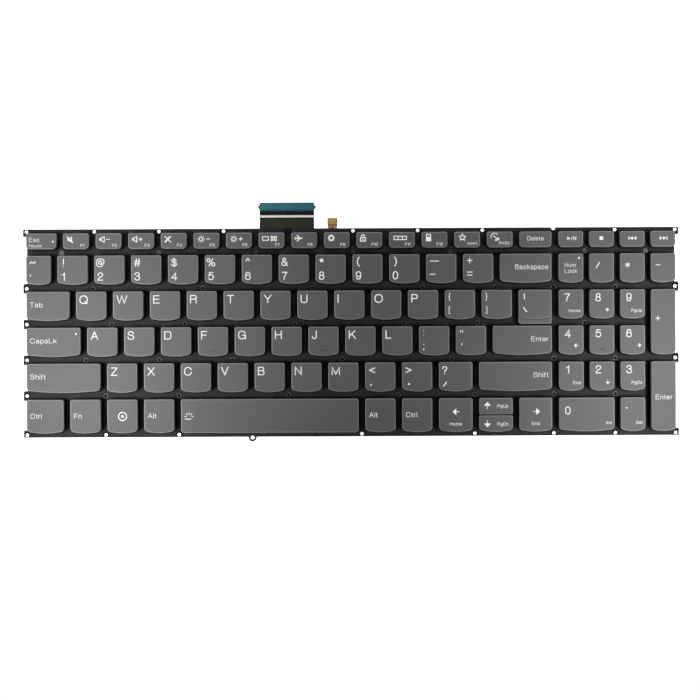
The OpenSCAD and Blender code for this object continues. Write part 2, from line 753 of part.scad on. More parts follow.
// Light chips along the guide's edge, and one chip under each key with a light dot
module leds() {
    span = strip_x1 - strip_x0 - led_l;
    color("lightyellow") {
        for (i = [0:led_count - 1])
            translate([strip_x0 + span * i / (led_count - 1), film_edge_y + strip_clear / 2,
                strip_t])
                cube([led_l, led_d, led_h]);
        for (name = LIT) {
            k = key(name);
            translate([k[2] + k[4] / 2 - cap_wall - led_d - strip_clear - led_d,
                k[3] + k[5] / 4 - led_d / 2, deck_z])
                cube([led_d, led_d, led_h]);
        }
    }
}

// Groups of like pieces

function rest_of(list, left_out) = [for (k = list) if (!has(left_out, k[0])) k];

module rubber_domes() {
    for (k = KEYS) dome(k);
}

module scissor_outer_frames() {
    for (k = rest_of(KEYS, ["space"])) outer_frame(k);
}

module scissor_inner_frames() {
    for (k = rest_of(KEYS, ["space"])) inner_frame(k);
}

module stabilizer_wires() {
    for (k = rest_of(KEYS, ["space", "enter"])) if (is_wired(k)) wire(k);
}

MOVING_NODES = [for (name = MOVING) str("key_", name)];

support_plate();
membrane_lower();
membrane_spacer();
membrane_upper();
ribbon_stiffener();
plate_studs();
reflector_film();
light_guide();
mask_film();
backlight_strip();
leds();
rubber_domes();
scissor_outer_frames();
scissor_inner_frames();
stabilizer_wires();
keycaps(group("fn"));  // function_row_keycaps
keycaps(group("pad"));  // numpad_keycaps
keycaps(group("main"));  // other_keycaps
outer_frame(key("space"));  // space_outer_frames
inner_frame(key("space"));  // space_inner_frames
wire(key("space"));  // space_stabilizer
wire(key("enter"));  // enter_stabilizer
for (name = MOVING)
    keycap(key(name));
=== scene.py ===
"""Looks of a laptop replacement keyboard with a number pad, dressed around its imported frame.

Lengths are millimetres until they reach a mesh, a light or the camera. X runs along the rows,
Y towards the function row and Z out of the keys.
"""

from __future__ import annotations

import logging
import math
from collections.abc import Sequence
from dataclasses import dataclass, field
from enum import Enum

import bpy
import numpy as np
from mathutils import Matrix, Vector


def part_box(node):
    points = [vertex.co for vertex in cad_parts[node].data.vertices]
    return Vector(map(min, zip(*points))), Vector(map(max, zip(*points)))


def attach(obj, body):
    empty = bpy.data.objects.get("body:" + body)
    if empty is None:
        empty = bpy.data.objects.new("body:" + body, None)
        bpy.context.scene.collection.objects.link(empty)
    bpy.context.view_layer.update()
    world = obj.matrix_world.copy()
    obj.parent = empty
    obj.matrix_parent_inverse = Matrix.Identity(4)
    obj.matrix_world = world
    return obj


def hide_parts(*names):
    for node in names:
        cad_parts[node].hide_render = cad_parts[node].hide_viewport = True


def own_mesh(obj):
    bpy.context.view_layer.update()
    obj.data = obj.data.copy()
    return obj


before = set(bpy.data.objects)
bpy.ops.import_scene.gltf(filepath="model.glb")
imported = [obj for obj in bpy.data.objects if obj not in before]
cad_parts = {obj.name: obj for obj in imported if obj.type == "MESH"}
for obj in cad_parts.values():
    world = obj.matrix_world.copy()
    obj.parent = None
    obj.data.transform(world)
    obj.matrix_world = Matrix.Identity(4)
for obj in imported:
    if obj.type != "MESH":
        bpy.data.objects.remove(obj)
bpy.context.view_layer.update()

MM = 0.001
LOG = logging.getLogger("keyboard")

Colour = tuple[float, float, float]
Spot = tuple[float, float]
Place = tuple[float, float, float]


class Signal:
    """A socket of a material that takes part in Python arithmetic: each operator adds a Math node."""

    def __init__(self, graph: Graph, socket: bpy.types.NodeSocket) -> None:
        """Keep the graph that new nodes go to, and the socket that holds the value."""
        self.graph = graph
        self.socket = socket

    def __add__(self, other: Value) -> Signal:
        """The sum of both."""
        return self.graph.math("ADD", self, other)

    def __sub__(self, other: Value) -> Signal:
        """This value less the other."""
        return self.graph.math("SUBTRACT", self, other)

    def __rsub__(self, other: Value) -> Signal:
        """The other value less this one."""
        return self.graph.math("SUBTRACT", other, self)

    def __mul__(self, other: Value) -> Signal:
        """The product of both."""
        return self.graph.math("MULTIPLY", self, other)

    def __gt__(self, other: Value) -> Signal:
        """1 where this value is above the other, else 0."""
        return self.graph.math("GREATER_THAN", self, other)

    def __lt__(self, other: Value) -> Signal:
        """1 where this value is below the other, else 0."""
        return self.graph.math("LESS_THAN", self, other)

    __radd__ = __add__
    __rmul__ = __mul__

    def fade(self, low: float, high: float) -> Signal:
        """0 up to low, 1 from high on, and a straight ramp between them."""
        made = self.graph.node("ShaderNodeMapRange", {"clamp": True},
                               {"Value": self, "From Min": low, "From Max": high})
        return Signal(self.graph, made.outputs[0])


Value = Signal | float


class Graph:
    """The node tree of one material, built by expressions."""

    def __init__(self, name: str) -> None:
        """Start an empty material of that name, with the object's own coordinates at hand."""
        self.material = bpy.data.materials.new(name)
        self.material.use_nodes = True
        self.tree = self.material.node_tree
        self.tree.nodes.clear()
        self.place = Signal(self, self.node("ShaderNodeTexCoord").outputs["Object"])

    def node(self, kind: str, settings: dict | None = None, inputs: dict | None = None) -> bpy.types.Node:
        """Add a node.

        Args:
            kind: The node's type.
            settings: Its own properties, set first.
            inputs: A value or a Signal for each socket, by the socket's identifier.

        Returns:
            The new node.
        """
        made = self.tree.nodes.new(kind)
        for name, value in (settings or {}).items():
            setattr(made, name, value)
        sockets = {socket.identifier: socket for socket in made.inputs}
        for name, value in (inputs or {}).items():
            if isinstance(value, Signal):
                self.tree.links.new(value.socket, sockets[name])
            else:
                sockets[name].default_value = value
        return made

    def math(self, operation: str, first: Value, second: Value) -> Signal:
        """One Math node of two values."""
        made = self.node("ShaderNodeMath", {"operation": operation},
                         {"Value": first, "Value_001": second})
        return Signal(self, made.outputs[0])

    def along(self, axis: int) -> Signal:
        """The object's coordinate along axis 0, 1 or 2, in millimetres."""
        made = self.node("ShaderNodeSeparateXYZ", {}, {"Vector": self.place})
        return Signal(self, made.outputs[axis]) * (1 / MM)

    def noise(self, size: float, detail: float = 2.0, stretch: Place = (1.0, 1.0, 1.0)) -> Signal:
        """Soft noise from 0 to 1.

        Args:
            size: How many millimetres a feature measures.
            detail: How many finer octaves lie on it.
            stretch: Factors on the three coordinates, below 1 where features are drawn out.

        Returns:
            The noise.
        """
        drawn = self.node("ShaderNodeVectorMath", {"operation": "MULTIPLY"},
                          {"Vector": self.place, "Vector_001": stretch})
        made = self.node("ShaderNodeTexNoise", {}, {
            "Vector": Signal(self, drawn.outputs[0]), "Scale": 1 / (size * MM), "Detail": detail})
        return Signal(self, made.outputs[0])

    def mix(self, first: Paint, second: Paint, share: Value) -> Signal:
        """The first colour where share is 0 and the second where it is 1."""
        made = self.node("ShaderNodeMix", {"data_type": "RGBA"}, {
            "Factor_Float": share, "A_Color": opaque(first), "B_Color": opaque(second)})
        outputs = {socket.identifier: socket for socket in made.outputs}
        return Signal(self, outputs["Result_Color"])

    def bump(self, height: Signal, depth: float) -> Signal:
        """A bumped normal whose height runs over depth millimetres."""
        made = self.node("ShaderNodeBump", {}, {
            "Height": height, "Distance": depth * MM, "Strength": 1.0})
        return Signal(self, made.outputs[0])

    def grained(self, colour: Paint, grain: Signal, gloss: float, spread: float, depth: float,
                **fixed: float) -> bpy.types.Material:
        """Close the material with a grain that moves its roughness and its normal.

        Args:
            colour: Base colour.
            grain: The grain, from 0 to 1.
            gloss: The lowest roughness.
            spread: How far the grain raises it.
            depth: The height of the grain in millimetres.
            fixed: Other sockets, as shade takes them.

        Returns:
            The material.
        """
        return self.shade(colour, grain * spread + gloss, self.bump(grain, depth), **fixed)

    def shade(self, colour: Paint, roughness: Value, normal: Signal | None = None,
              **fixed: float) -> bpy.types.Material:
        """Close the material with its shader.

        Args:
            colour: Base colour.
            roughness: Roughness.
            normal: Bumped normal, if it has one.
            fixed: Other sockets of the shader, their spaces as underscores, that stay constant.

        Returns:
            The material.
        """
        inputs = {"Base Color": opaque(colour), "Roughness": roughness}
        inputs.update({name.replace("_", " "): value for name, value in fixed.items()})
        if normal is not None:
            inputs["Normal"] = normal
        shader = self.node("ShaderNodeBsdfPrincipled", {}, inputs)
        self.node("ShaderNodeOutputMaterial", {}, {"Surface": Signal(self, shader.outputs[0])})
        return self.material


Paint = Signal | Colour


def opaque(colour: Paint) -> Signal | tuple[float, float, float, float]:
    """A colour as a socket takes it."""
    return colour if isinstance(colour, Signal) else (*colour, 1.0)


def tinted(colour: Colour, factor: float) -> Colour:
    """A colour made lighter or darker by a factor."""
    return tuple(channel * factor for channel in colour)


@dataclass(frozen=True)
class Finish:
    """One surface finish. Its name is its material's."""

    name: str

    def material(self) -> bpy.types.Material:
        """The finish's material, built the first time it is asked for."""
        return bpy.data.materials.get(self.name) or self.build(Graph(self.name))

    def build(self, graph: Graph) -> bpy.types.Material:
        """Draw the finish in its graph."""
        raise NotImplementedError


@dataclass(frozen=True)
class Grained(Finish):
    """Matt plastic, paint or film with a fine grain and faint clouds of tone.

    tone is the base colour, gloss the mean roughness, grain the size of the texture and depth its
    height in millimetres, cloud the share by which the tone wanders. Any emission is painted light,
    by which the surface shines by itself. Clouds make up cloud_share of the wander, and grain the rest.
    """

    tone: Colour
    gloss: float = 0.5
    grain: float = 0.18
    depth: float = 0.004
    cloud: float = 0.06
    metal: float = 0.0
    level: float = 0.5
    glow: float = 0.0
    spread: float = 0.12
    cloud_size: float = 28.0
    cloud_share: float = 0.7

    def build(self, graph: Graph) -> bpy.types.Material:
        """Clouds and grain move the tone, and the grain alone the roughness and the normal."""
        grain = graph.noise(self.grain)
        clouds = graph.noise(self.cloud_size) * self.cloud_share + grain * (1 - self.cloud_share)
        colour = graph.mix(tinted(self.tone, 1 - self.cloud), tinted(self.tone, 1 + self.cloud),
                           clouds)
        return graph.grained(colour, grain, self.gloss - self.spread / 2, self.spread, self.depth,
                             Metallic=self.metal, Specular_IOR_Level=self.level,
                             Emission_Strength=self.glow)


@dataclass(frozen=True)
class SheetAndTail(Finish):
    """The black lower sheet, which leaves the board as an olive ribbon with a printed end.

    Bands of tone follow Y from the board's edge outwards, and dark borders follow X. deep is the
    sheet's own tone, olive the ribbon's, chalk the printed line's.
    """

    edge: float
    middle: float
    half_width: float
    line_start: float
    line_end: float
    deep: Colour = (0.030, 0.029, 0.031)
    olive: Colour = (0.027, 0.026, 0.018)
    black: Colour = (0.003, 0.003, 0.003)
    chalk: Colour = (0.96, 0.95, 0.94)
    border: float = 0.45
    shade: float = 0.6
    thread: float = 0.9
    drawn: float = 0.02
    dark: float = 0.8
    light: float = 1.25
    grain: float = 0.4

    def build(self, graph: Graph) -> bpy.types.Material:
        """Mix the bands one over the other, and lay faint lengthwise traces on the ribbon."""
        x, y = graph.along(0), graph.along(1)
        traces = graph.noise(self.thread, 1.0, (1.0, self.drawn, 1.0))
        ribbon = graph.mix(tinted(self.olive, self.dark), tinted(self.olive, self.light), traces)
        inside = (x - self.middle) * (x - self.middle)
        rim = self.half_width - self.border
        ribbon = graph.mix(ribbon, self.black, inside > rim * rim)
        ribbon = graph.mix(ribbon, self.black, y > self.line_start - self.shade)
        ribbon = graph.mix(ribbon, self.chalk, y > self.line_start)
        ribbon = graph.mix(ribbon, self.black, y > self.line_end)
        colour = graph.mix(self.deep, ribbon, y > self.edge)
        return graph.grained(colour, graph.noise(self.grain), 0.38, 0.1, 0.002)


@dataclass(frozen=True)
class StiffenerFilm(Finish):
    """The ribbon's stiffener: teal at its left end and deep blue at its right, with fine streaks
    across its length, and black where it starts on the ribbon at foot."""

    start: float
    end: float
    foot: float
    teal: Colour = (0.055, 0.215, 0.250)
    blue: Colour = (0.038, 0.170, 0.235)
    black: Colour = (0.006, 0.007, 0.008)
    streak: float = 0.5
    drawn: float = 0.06
    dark: float = 0.75
    light: float = 1.2
    ahead: float = 0.3
    blend: float = 1.5

    def build(self, graph: Graph) -> bpy.types.Material:
        """Blend the two tones along X, and darken the result by streaks drawn out along Y."""
        across = graph.along(0).fade(self.start, self.end)
        streaks = graph.noise(self.streak, 3.0, (1.0, self.drawn, 1.0))
        deep, light = [graph.mix(tinted(self.teal, factor), tinted(self.blue, factor), across)
                       for factor in (self.dark, self.light)]
        colour = graph.mix(deep, light, streaks.fade(0.3, 0.7))
        start = graph.along(1).fade(self.foot - self.ahead, self.foot + self.blend)
        return graph.grained(graph.mix(self.black, colour, start), streaks, 0.3, 0.15, 0.003,
                             Coat_Weight=0.3)


@dataclass(frozen=True)
class LightStrip(Finish):
    """The backlight's flexible strip: amber film on the board and gold fingers at its contact
    head, with a darker band at the head's foot and darker columns at its sides."""

    head: float
    middle: float
    half_head: float
    amber: Colour = (0.42, 0.21, 0.03)
    gold: Colour = (0.72, 0.50, 0.17)
    between: Colour = (0.42, 0.29, 0.065)
    side: Colour = (0.21, 0.155, 0.06)
    foot: Colour = (0.33, 0.165, 0.02)
    cream: Colour = (0.95, 0.74, 0.46)
    half_amber: float = 1.0
    pitch: float = 1.03
    column: float = 0.45
    band: float = 0.55
    grain: float = 0.3

    def build(self, graph: Graph) -> bpy.types.Material:
        """The fingers follow 0.5 + 0.5 cos(2 pi x / pitch)."""
        x, y = graph.along(0) - self.middle, graph.along(1)
        wave = graph.math("COSINE", x * (2 * math.pi / self.pitch), 0.0) * 0.5 + 0.5
        head = graph.mix(self.between, self.gold, wave)
        rim = self.half_head - self.column
        head = graph.mix(head, self.side, x * x > rim * rim)
        head = graph.mix(head, self.foot, y < self.head + self.band)
        neck = graph.mix(self.amber, self.cream, x * x > self.half_amber ** 2)
        colour = graph.mix(neck, head, y > self.head)
        return graph.grained(colour, graph.noise(self.grain), 0.3, 0.15, 0.002, Coat_Weight=0.25)


@dataclass(frozen=True)
class LightGuide(Finish):
    """The clear guide plate, with the rows of fine dots that let its light out."""

    tone: Colour = (0.80, 0.86, 0.88)
    dot: Colour = (0.95, 0.95, 0.95)
    pitch: float = 1.6
    reach: float = 0.28

    def build(self, graph: Graph) -> bpy.types.Material:
        """Rounded dots on a square pitch: low distance from the nearest cell centre is a dot."""
        drawn = graph.node("ShaderNodeVectorMath", {"operation": "SCALE"},
                           {"Vector": graph.place, "Scale": 1 / (self.pitch * MM)})
        cells = graph.node("ShaderNodeTexVoronoi", {"feature": "F1"}, {
            "Vector": Signal(graph, drawn.outputs[0]), "Scale": 1.0, "Randomness": 0.0})
        dots = Signal(graph, cells.outputs["Distance"]) < self.reach
        colour = graph.mix(self.tone, self.dot, dots)
        return graph.shade(colour, dots * 0.4 + 0.1, Transmission_Weight=0.35, IOR=1.49)


KEYCAP_PAINT = Grained("keycap_paint", (0.140, 0.137, 0.139), gloss=0.58, depth=0.005,
                       level=0.32)
# Painted highlight: a lighter tone for the keycaps' rounded rims, for the light that they catch.
KEYCAP_RIM_HIGHLIGHT = Grained("keycap_edge", (0.25, 0.246, 0.25), gloss=0.5, depth=0.003, level=0.4)
# Painted shade: a darker tone for the homing bars and for the line round the bow of the key with a ledge,
# for the shade along the bars and the shadow under the bow.
KEYCAP_PAINTED_SHADE = Grained("keycap_bar", (0.085, 0.083, 0.085), gloss=0.6, depth=0.003, level=0.3)
# The legends' ink shines by painted light, an emission, so that it stays white where the lights are
# weaker.
LEGEND_INK_AND_PAINTED_LIGHT = Grained("legend_ink", (0.25, 0.25, 0.25), gloss=0.5, depth=0.001, cloud=0.03,
                     glow=0.65)
POWDER_COAT = Grained("powder_coat", (0.022, 0.022, 0.023), gloss=0.65, grain=0.3,
                      depth=0.006, level=0.25)
DECK_FILM = Grained("deck_film", (0.029, 0.028, 0.031), gloss=0.7, grain=0.5, depth=0.002,
                    level=0.2)
CLEAR_FILM = Grained("clear_film", (0.50, 0.52, 0.52), gloss=0.25, grain=0.8, depth=0.002)
WHITE_FILM = Grained("white_film", (0.82, 0.83, 0.84), gloss=0.35, grain=0.6, depth=0.002)
MASK_INK = Grained("mask_ink", (0.005, 0.005, 0.006), gloss=0.7, grain=0.4, depth=0.002,
                   level=0.2)
STUD_STEEL = Grained("stud_steel", (0.085, 0.085, 0.088), gloss=0.42, grain=0.25, depth=0.006,
                     metal=0.6)
SHADE_BLACK = Grained("matt_black", (0.004, 0.004, 0.004), gloss=0.7, depth=0.001, level=0.2)
BARE_STEEL = Grained("bare_steel", (0.13, 0.13, 0.135), gloss=0.45, grain=0.2, depth=0.003)
CREAM_FILM = Grained("cream_film", (0.42, 0.33, 0.21), gloss=0.4, grain=0.4, depth=0.001)
CHIP_RESIN = Grained("chip_resin", (0.85, 0.78, 0.42), gloss=0.3, grain=0.1, depth=0.001)
SILICONE = Grained("silicone", (0.52, 0.54, 0.56), gloss=0.6, grain=0.15, depth=0.003)
ACETAL = Grained("acetal", (0.62, 0.62, 0.60), gloss=0.4, grain=0.2, depth=0.003)
WIRE_STEEL = Grained("wire_steel", (0.56, 0.56, 0.57), gloss=0.28, grain=0.12, depth=0.002,
                     metal=1.0)


@dataclass
class Patch:
    """Part of a mesh: points in millimetres, faces that all have as many corners, and the
    number of the finish they take, or one number for each face."""

    points: np.ndarray
    faces: np.ndarray
    ink: int | np.ndarray = 0

    def moved(self, x: float, y: float, z: float = 0.0) -> Patch:
        """The patch carried by x, y and z."""
        return Patch(self.points + (x, y, z), self.faces, self.ink)

    def span(self) -> np.ndarray:
        """Its lowest and highest corners."""
        return np.array([self.points.min(axis=0), self.points.max(axis=0)])


def box_of(node: str) -> np.ndarray:
    """A node's lowest and highest corners in millimetres."""
    low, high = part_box(node)
    return np.array([low[:], high[:]]) / MM


def on_circle(angle: np.ndarray, radius: float | np.ndarray) -> np.ndarray:
    """Points about the origin: the radius times each angle's cosine and sine."""
    return np.column_stack([radius * np.cos(angle), radius * np.sin(angle)])


def raised(plan: np.ndarray, z: float) -> np.ndarray:
    """The points of a plan at one height."""
    return np.column_stack([plan, np.full(len(plan), z)])


def shown(name: str, data: bpy.types.ID) -> bpy.types.Object:
    """A new object of the scene with its data."""
    made = bpy.data.objects.new(name, data)
    bpy.context.scene.collection.objects.link(made)
    return made


@dataclass
class Dresser:
    """Turns patches into finished pieces and hangs them in the frame. An edge stays sharp where
    its angle in degrees is above crease."""

    crease: float = 32.0

    def piece(self, name: str, patches: list[Patch], finishes: Sequence[Finish], body: str,
              slot: str, replaces: tuple[str, ...] = ()) -> bpy.types.Object:
        """Make one piece.

        Args:
            name: Its name.
            patches: Its surfaces.
            finishes: Its finishes, in the order of the patches' numbers.
            body: The body it rides on.
            slot: The record's material slot; not used.
            replaces: The nodes it stands for.

        Returns:
            The piece's object.
        """
        mesh = bpy.data.meshes.new(name)
        starts = np.cumsum([0] + [len(patch.points) for patch in patches])
        corners = np.concatenate([(patch.faces + start).ravel()
                                  for patch, start in zip(patches, starts)])
        sides = np.concatenate([np.full(len(patch.faces), patch.faces.shape[1])
                                for patch in patches])
        inks = np.concatenate([np.full(len(patch.faces), patch.ink) for patch in patches])
        points = np.concatenate([patch.points for patch in patches]) * MM
        mesh.vertices.add(len(points))
        mesh.vertices.foreach_set("co", points.ravel())
        mesh.loops.add(len(corners))
        mesh.loops.foreach_set("vertex_index", corners)
        mesh.polygons.add(len(sides))
        mesh.polygons.foreach_set("loop_start", np.cumsum(sides) - sides)
        mesh.polygons.foreach_set("material_index", inks)
        mesh.polygons.foreach_set("use_smooth", np.ones(len(sides), bool))
        mesh.update(calc_edges=True)
        mesh.set_sharp_from_angle(angle=math.radians(self.crease))
        for finish in finishes:
            mesh.materials.append(finish.material())
        made = shown(name, mesh)
        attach(made, body)
        if replaces:
            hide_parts(*replaces)
        LOG.info("%s: %d faces on %s", name, len(sides), body)
        return made

    def finish_node(self, node: str, finish: Finish) -> None:
        """Give a node of the frame its finish."""
        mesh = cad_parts[node].data
        mesh.materials.clear()
        mesh.materials.append(finish.material())
        LOG.info("%s: finished as %s", node, finish.name)


def triangles_of(mesh: bpy.types.Mesh) -> np.ndarray:
    """A mesh's triangles as an array of corners, in the mesh's own unit."""
    mesh.calc_loop_triangles()
    corners = np.empty(len(mesh.loop_triangles) * 3, np.int64)
    mesh.loop_triangles.foreach_get("vertices", corners)
    points = np.empty(len(mesh.vertices) * 3)
    mesh.vertices.foreach_get("co", points)
    return points.reshape(-1, 3)[corners].reshape(-1, 3, 3)


def merged(triangles: np.ndarray, decimals: int) -> Patch:
    """One patch from loose triangles: corners at one place are one point, and triangles that
    lose their area by it are left out."""
    points, index = np.unique(np.round(triangles.reshape(-1, 3), decimals), axis=0,
                              return_inverse=True)
    index = index.reshape(-1, 3)
    kept = (index != np.roll(index, 1, axis=1)).all(axis=1)
    return Patch(points, index[kept])


def solids_of(node: str) -> list[Patch]:
    """A node's separate solids.

    Each point starts with its own label, every triangle hands its lowest label to its corners,
    and that repeats until nothing changes: points of one solid then share a label.

    Args:
        node: The node's name.

    Returns:
        One merged patch for each solid, in millimetres.
    """
    whole = merged(triangles_of(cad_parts[node].data) / MM, 3)
    label = np.arange(len(whole.points))
    while True:
        spread = label.copy()
        np.minimum.at(spread, whole.faces.ravel(), np.repeat(label[whole.faces].min(axis=1), 3))
        spread = spread[spread]
        if np.array_equal(spread, label):
            break
        label = spread
    found = []
    for mark in np.unique(label):
        used, local = np.unique(whole.faces[label[whole.faces[:, 0]] == mark], return_inverse=True)
        found.append(Patch(whole.points[used], local.reshape(-1, 3)))
    return found


class KeyForm(Enum):
    """The outlines that a keycap can have."""

    SMILE = "bowed lower edge"
    STRAIGHT = "straight lower edge with large corners"
    LEDGE = "bowed top on a straight, lower ledge"
    UPPER = "upper half of a split key"
    LOWER = "lower half of a split key"


@dataclass(frozen=True)
class KeySite:
    """Where one key stands: its name, the body and node it belongs to, its middle, size and form."""

    name: str
    body: str
    node: str
    x: float
    y: float
    width: float
    depth: float
    form: KeyForm

    def holds(self, patch: Patch) -> bool:
        """True if the patch's middle lies under this key."""
        middle = patch.span().sum(axis=0) / 2
        return abs(middle[0] - self.x) < self.width / 2 and abs(middle[1] - self.y) < self.depth / 2

    @property
    def left(self) -> float:
        """The key's left edge."""
        return self.x - self.width / 2

    @property
    def top(self) -> float:
        """The key's upper edge."""
        return self.y + self.depth / 2

    @property
    def right(self) -> float:
        """The key's right edge."""
        return self.x + self.width / 2

    @property
    def low(self) -> float:
        """The key's lower edge."""
        return self.y - self.depth / 2


@dataclass
class KeyField:
    """All keys of the board, read from the frame.

    The keys that move have a node each. The others come as solids of three nodes, and are named
    here by row from the top and by column from the left.
    """

    function_row: str = ("esc f1 f2 f3 f4 f5 f6 f7 f8 f9 f10 f11 f12 insert print delete"
                         " play stop previous next")
    number_pad: str = ("num_lock divide times subtract pad_7 pad_8 pad_9 add pad_4 pad_5 pad_6"
                       " pad_1 pad_2 pad_3 pad_enter pad_0 point")
    others: str = ("grave minus equals backspace tab left_bracket right_bracket backslash"
                   " caps_lock semicolon quote left_shift comma period slash right_shift"
                   " left_ctrl fn menu left_alt right_alt right_ctrl left up right down")
    sites: list[KeySite] = field(default_factory=list)

    def __post_init__(self) -> None:
        """Read every site."""
        for node in sorted(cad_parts):
            if node.startswith("key_"):
                self.sites.append(self.site(node.removeprefix("key_"), node, node, box_of(node)))
        for node, names in (("function_row_keycaps", self.function_row),
                            ("numpad_keycaps", self.number_pad), ("other_keycaps", self.others)):
            boxes = [solid.span() for solid in solids_of(node)]
            boxes.sort(key=lambda box: (-round(box[1][1]), box[0][0]))
            for name, box in zip(names.split(), boxes, strict=True):
                self.sites.append(self.site(name, "chassis", node, box))

    def site(self, name: str, body: str, node: str, box: np.ndarray) -> KeySite:
        """One site from a keycap's lowest and highest corners."""
        forms = {"up": KeyForm.UPPER, "down": KeyForm.LOWER, "backslash": KeyForm.LEDGE,
                 "space": KeyForm.STRAIGHT}
        plain = KeyForm.STRAIGHT if node == "function_row_keycaps" else KeyForm.SMILE
        x, y = (box[0] + box[1])[:2] / 2
        width, depth = (box[1] - box[0])[:2]
        return KeySite(name, body, node, x, y, width, depth, forms.get(name, plain))

    def of_node(self, node: str) -> list[KeySite]:
        """The sites whose keycaps are solids of that node."""
        return [site for site in self.sites if site.node == node]

    def moving(self) -> list[KeySite]:
        """The sites of the keys that travel."""
        return [site for site in self.sites if site.body != "chassis"]

    def named(self, name: str) -> KeySite:
        """The site of one key."""
        return next(site for site in self.sites if site.name == name)

    def after(self, name: str) -> float:
        """Halfway between a key and the next key of its row."""
        here = self.named(name)
        beside = min(site.left for site in self.sites
                     if site.left > here.right and abs(site.top - here.top) < 1)
        return (here.right + beside) / 2

    def crossing(self, name: str) -> Spot:
        """The middle of the crossing below and right of a key: halfway to the next key of its
        row, and halfway to the nearest key that starts below it."""
        here = self.named(name)
        below = max(site.top for site in self.sites if site.top < here.low)
        return self.after(name), (here.low + below) / 2


@dataclass(frozen=True)
class CapOutline:
    """The outline of a keycap as four corner arcs and, on a bowed one, a shallow arc between the
    lower two, all tangent to each other."""

    width: float
    depth: float
    form: KeyForm
    corner: float = 1.0
    low_corner: float = 2.0
    foot_corner: float = 1.1
    split_corner: float = 0.5
    bow: float = 1.15
    least: float = 0.1
    corner_steps: int = 6
    bow_steps: int = 18

    def arc(self, x: float, y: float, radius: float, start: float, stop: float,
            steps: int) -> np.ndarray:
        """Points on a circle about x, y from the start angle to the stop angle, both included."""
        return on_circle(np.radians(np.linspace(start, stop, steps + 1)), radius) + (x, y)

    def ring(self, inset: float) -> np.ndarray:
        """The outline, moved inwards by inset, clockwise from the upper left corner.

        A corner's arc keeps its middle and loses inset from its radius. Where the radius would
        fall to nothing, the middle moves inwards instead.
        """
        floor = inset + self.least
        high = max(self.split_corner if self.form == KeyForm.LOWER else self.corner, floor)
        half_w, half_d = self.width / 2, self.depth / 2
        upper = [self.arc(high - half_w, half_d - high, high - inset, 180, 90, self.corner_steps),
                 self.arc(half_w - high, half_d - high, high - inset, 90, 0, self.corner_steps)]
        if self.form in (KeyForm.SMILE, KeyForm.LOWER):
            return np.concatenate(upper + self.bowed_foot(inset))
        radius = {KeyForm.UPPER: self.split_corner, KeyForm.LEDGE: self.foot_corner}
        low = max(radius.get(self.form, self.low_corner), floor)
        return np.concatenate(upper + [
            self.arc(half_w - low, low - half_d, low - inset, 0, -90, self.corner_steps),
            self.arc(low - half_w, low - half_d, low - inset, -90, -180, self.corner_steps)])

    def bowed_foot(self, inset: float) -> list[np.ndarray]:
        """The lower edge of a bowed cap.

        The bow is a circle through both sides' feet, bow higher than the lowest point. A corner
        circle touches it from inside and touches the side, so its middle lies at the big radius
        less its own from the bow's middle.
        """
        big = (self.width ** 2 / 4 + self.bow ** 2) / (2 * self.bow)
        middle = big - self.depth / 2
        side = self.width / 2 - self.low_corner
        reach = big - self.low_corner
        tilt = math.degrees(math.asin(side / reach))
        y = middle - math.sqrt(reach ** 2 - side ** 2)
        low = self.low_corner - inset
        return [self.arc(side, y, low, 0, tilt - 90, self.corner_steps),
                self.arc(0, middle, big - inset, tilt - 90, -tilt - 90, self.bow_steps)[1:-1],
                self.arc(-side, y, low, -tilt - 90, -180, self.corner_steps)]


def lofted(rings: list[np.ndarray], start: np.ndarray, end: np.ndarray) -> Patch:
    """A closed skin through rings of equally many points, with a point at each end.

    Each ring is a row of the grid, and row i joins row i + 1 column by column. The rings run
    clockwise as seen from the side that the skin's first rising wall faces away from.

    Args:
        rings: The rings in order.
        start: The point that closes the first ring.
        end: The point that closes the last ring.

    Returns:
        The skin as triangles.
    """
    count, steps = len(rings), len(rings[0])
    points = np.concatenate(rings + [start[None], end[None]])
    row = np.arange(steps)
    following = np.roll(row, -1)
    base = steps * np.arange(count - 1)[:, None]
    a, b = base + row, base + steps + row
    c, d = base + steps + following, base + following
    walls = np.concatenate([np.stack([a, b, c], -1).reshape(-1, 3),
                            np.stack([a, c, d], -1).reshape(-1, 3)])
    last = steps * (count - 1)
    first_cap = np.column_stack([np.full(steps, steps * count), row, following])
    last_cap = np.column_stack([last + row, np.full(steps, steps * count + 1), last + following])
    return Patch(points, np.concatenate([walls, first_cap, last_cap]))


def block(x: float, y: float, z: float, w: float, d: float, h: float, ink: int = 0) -> Patch:
    """A box from its lowest corner and its three sides, as six faces that look outwards."""
    corners = np.array([[i, j, k] for k in (0, 1) for j in (0, 1) for i in (0, 1)], float)
    faces = np.array([[0, 2, 3, 1], [4, 5, 7, 6], [0, 1, 5, 4], [2, 6, 7, 3], [0, 4, 6, 2],
                      [1, 3, 7, 5]])
    return Patch(corners * (w, d, h) + (x, y, z), faces, ink)


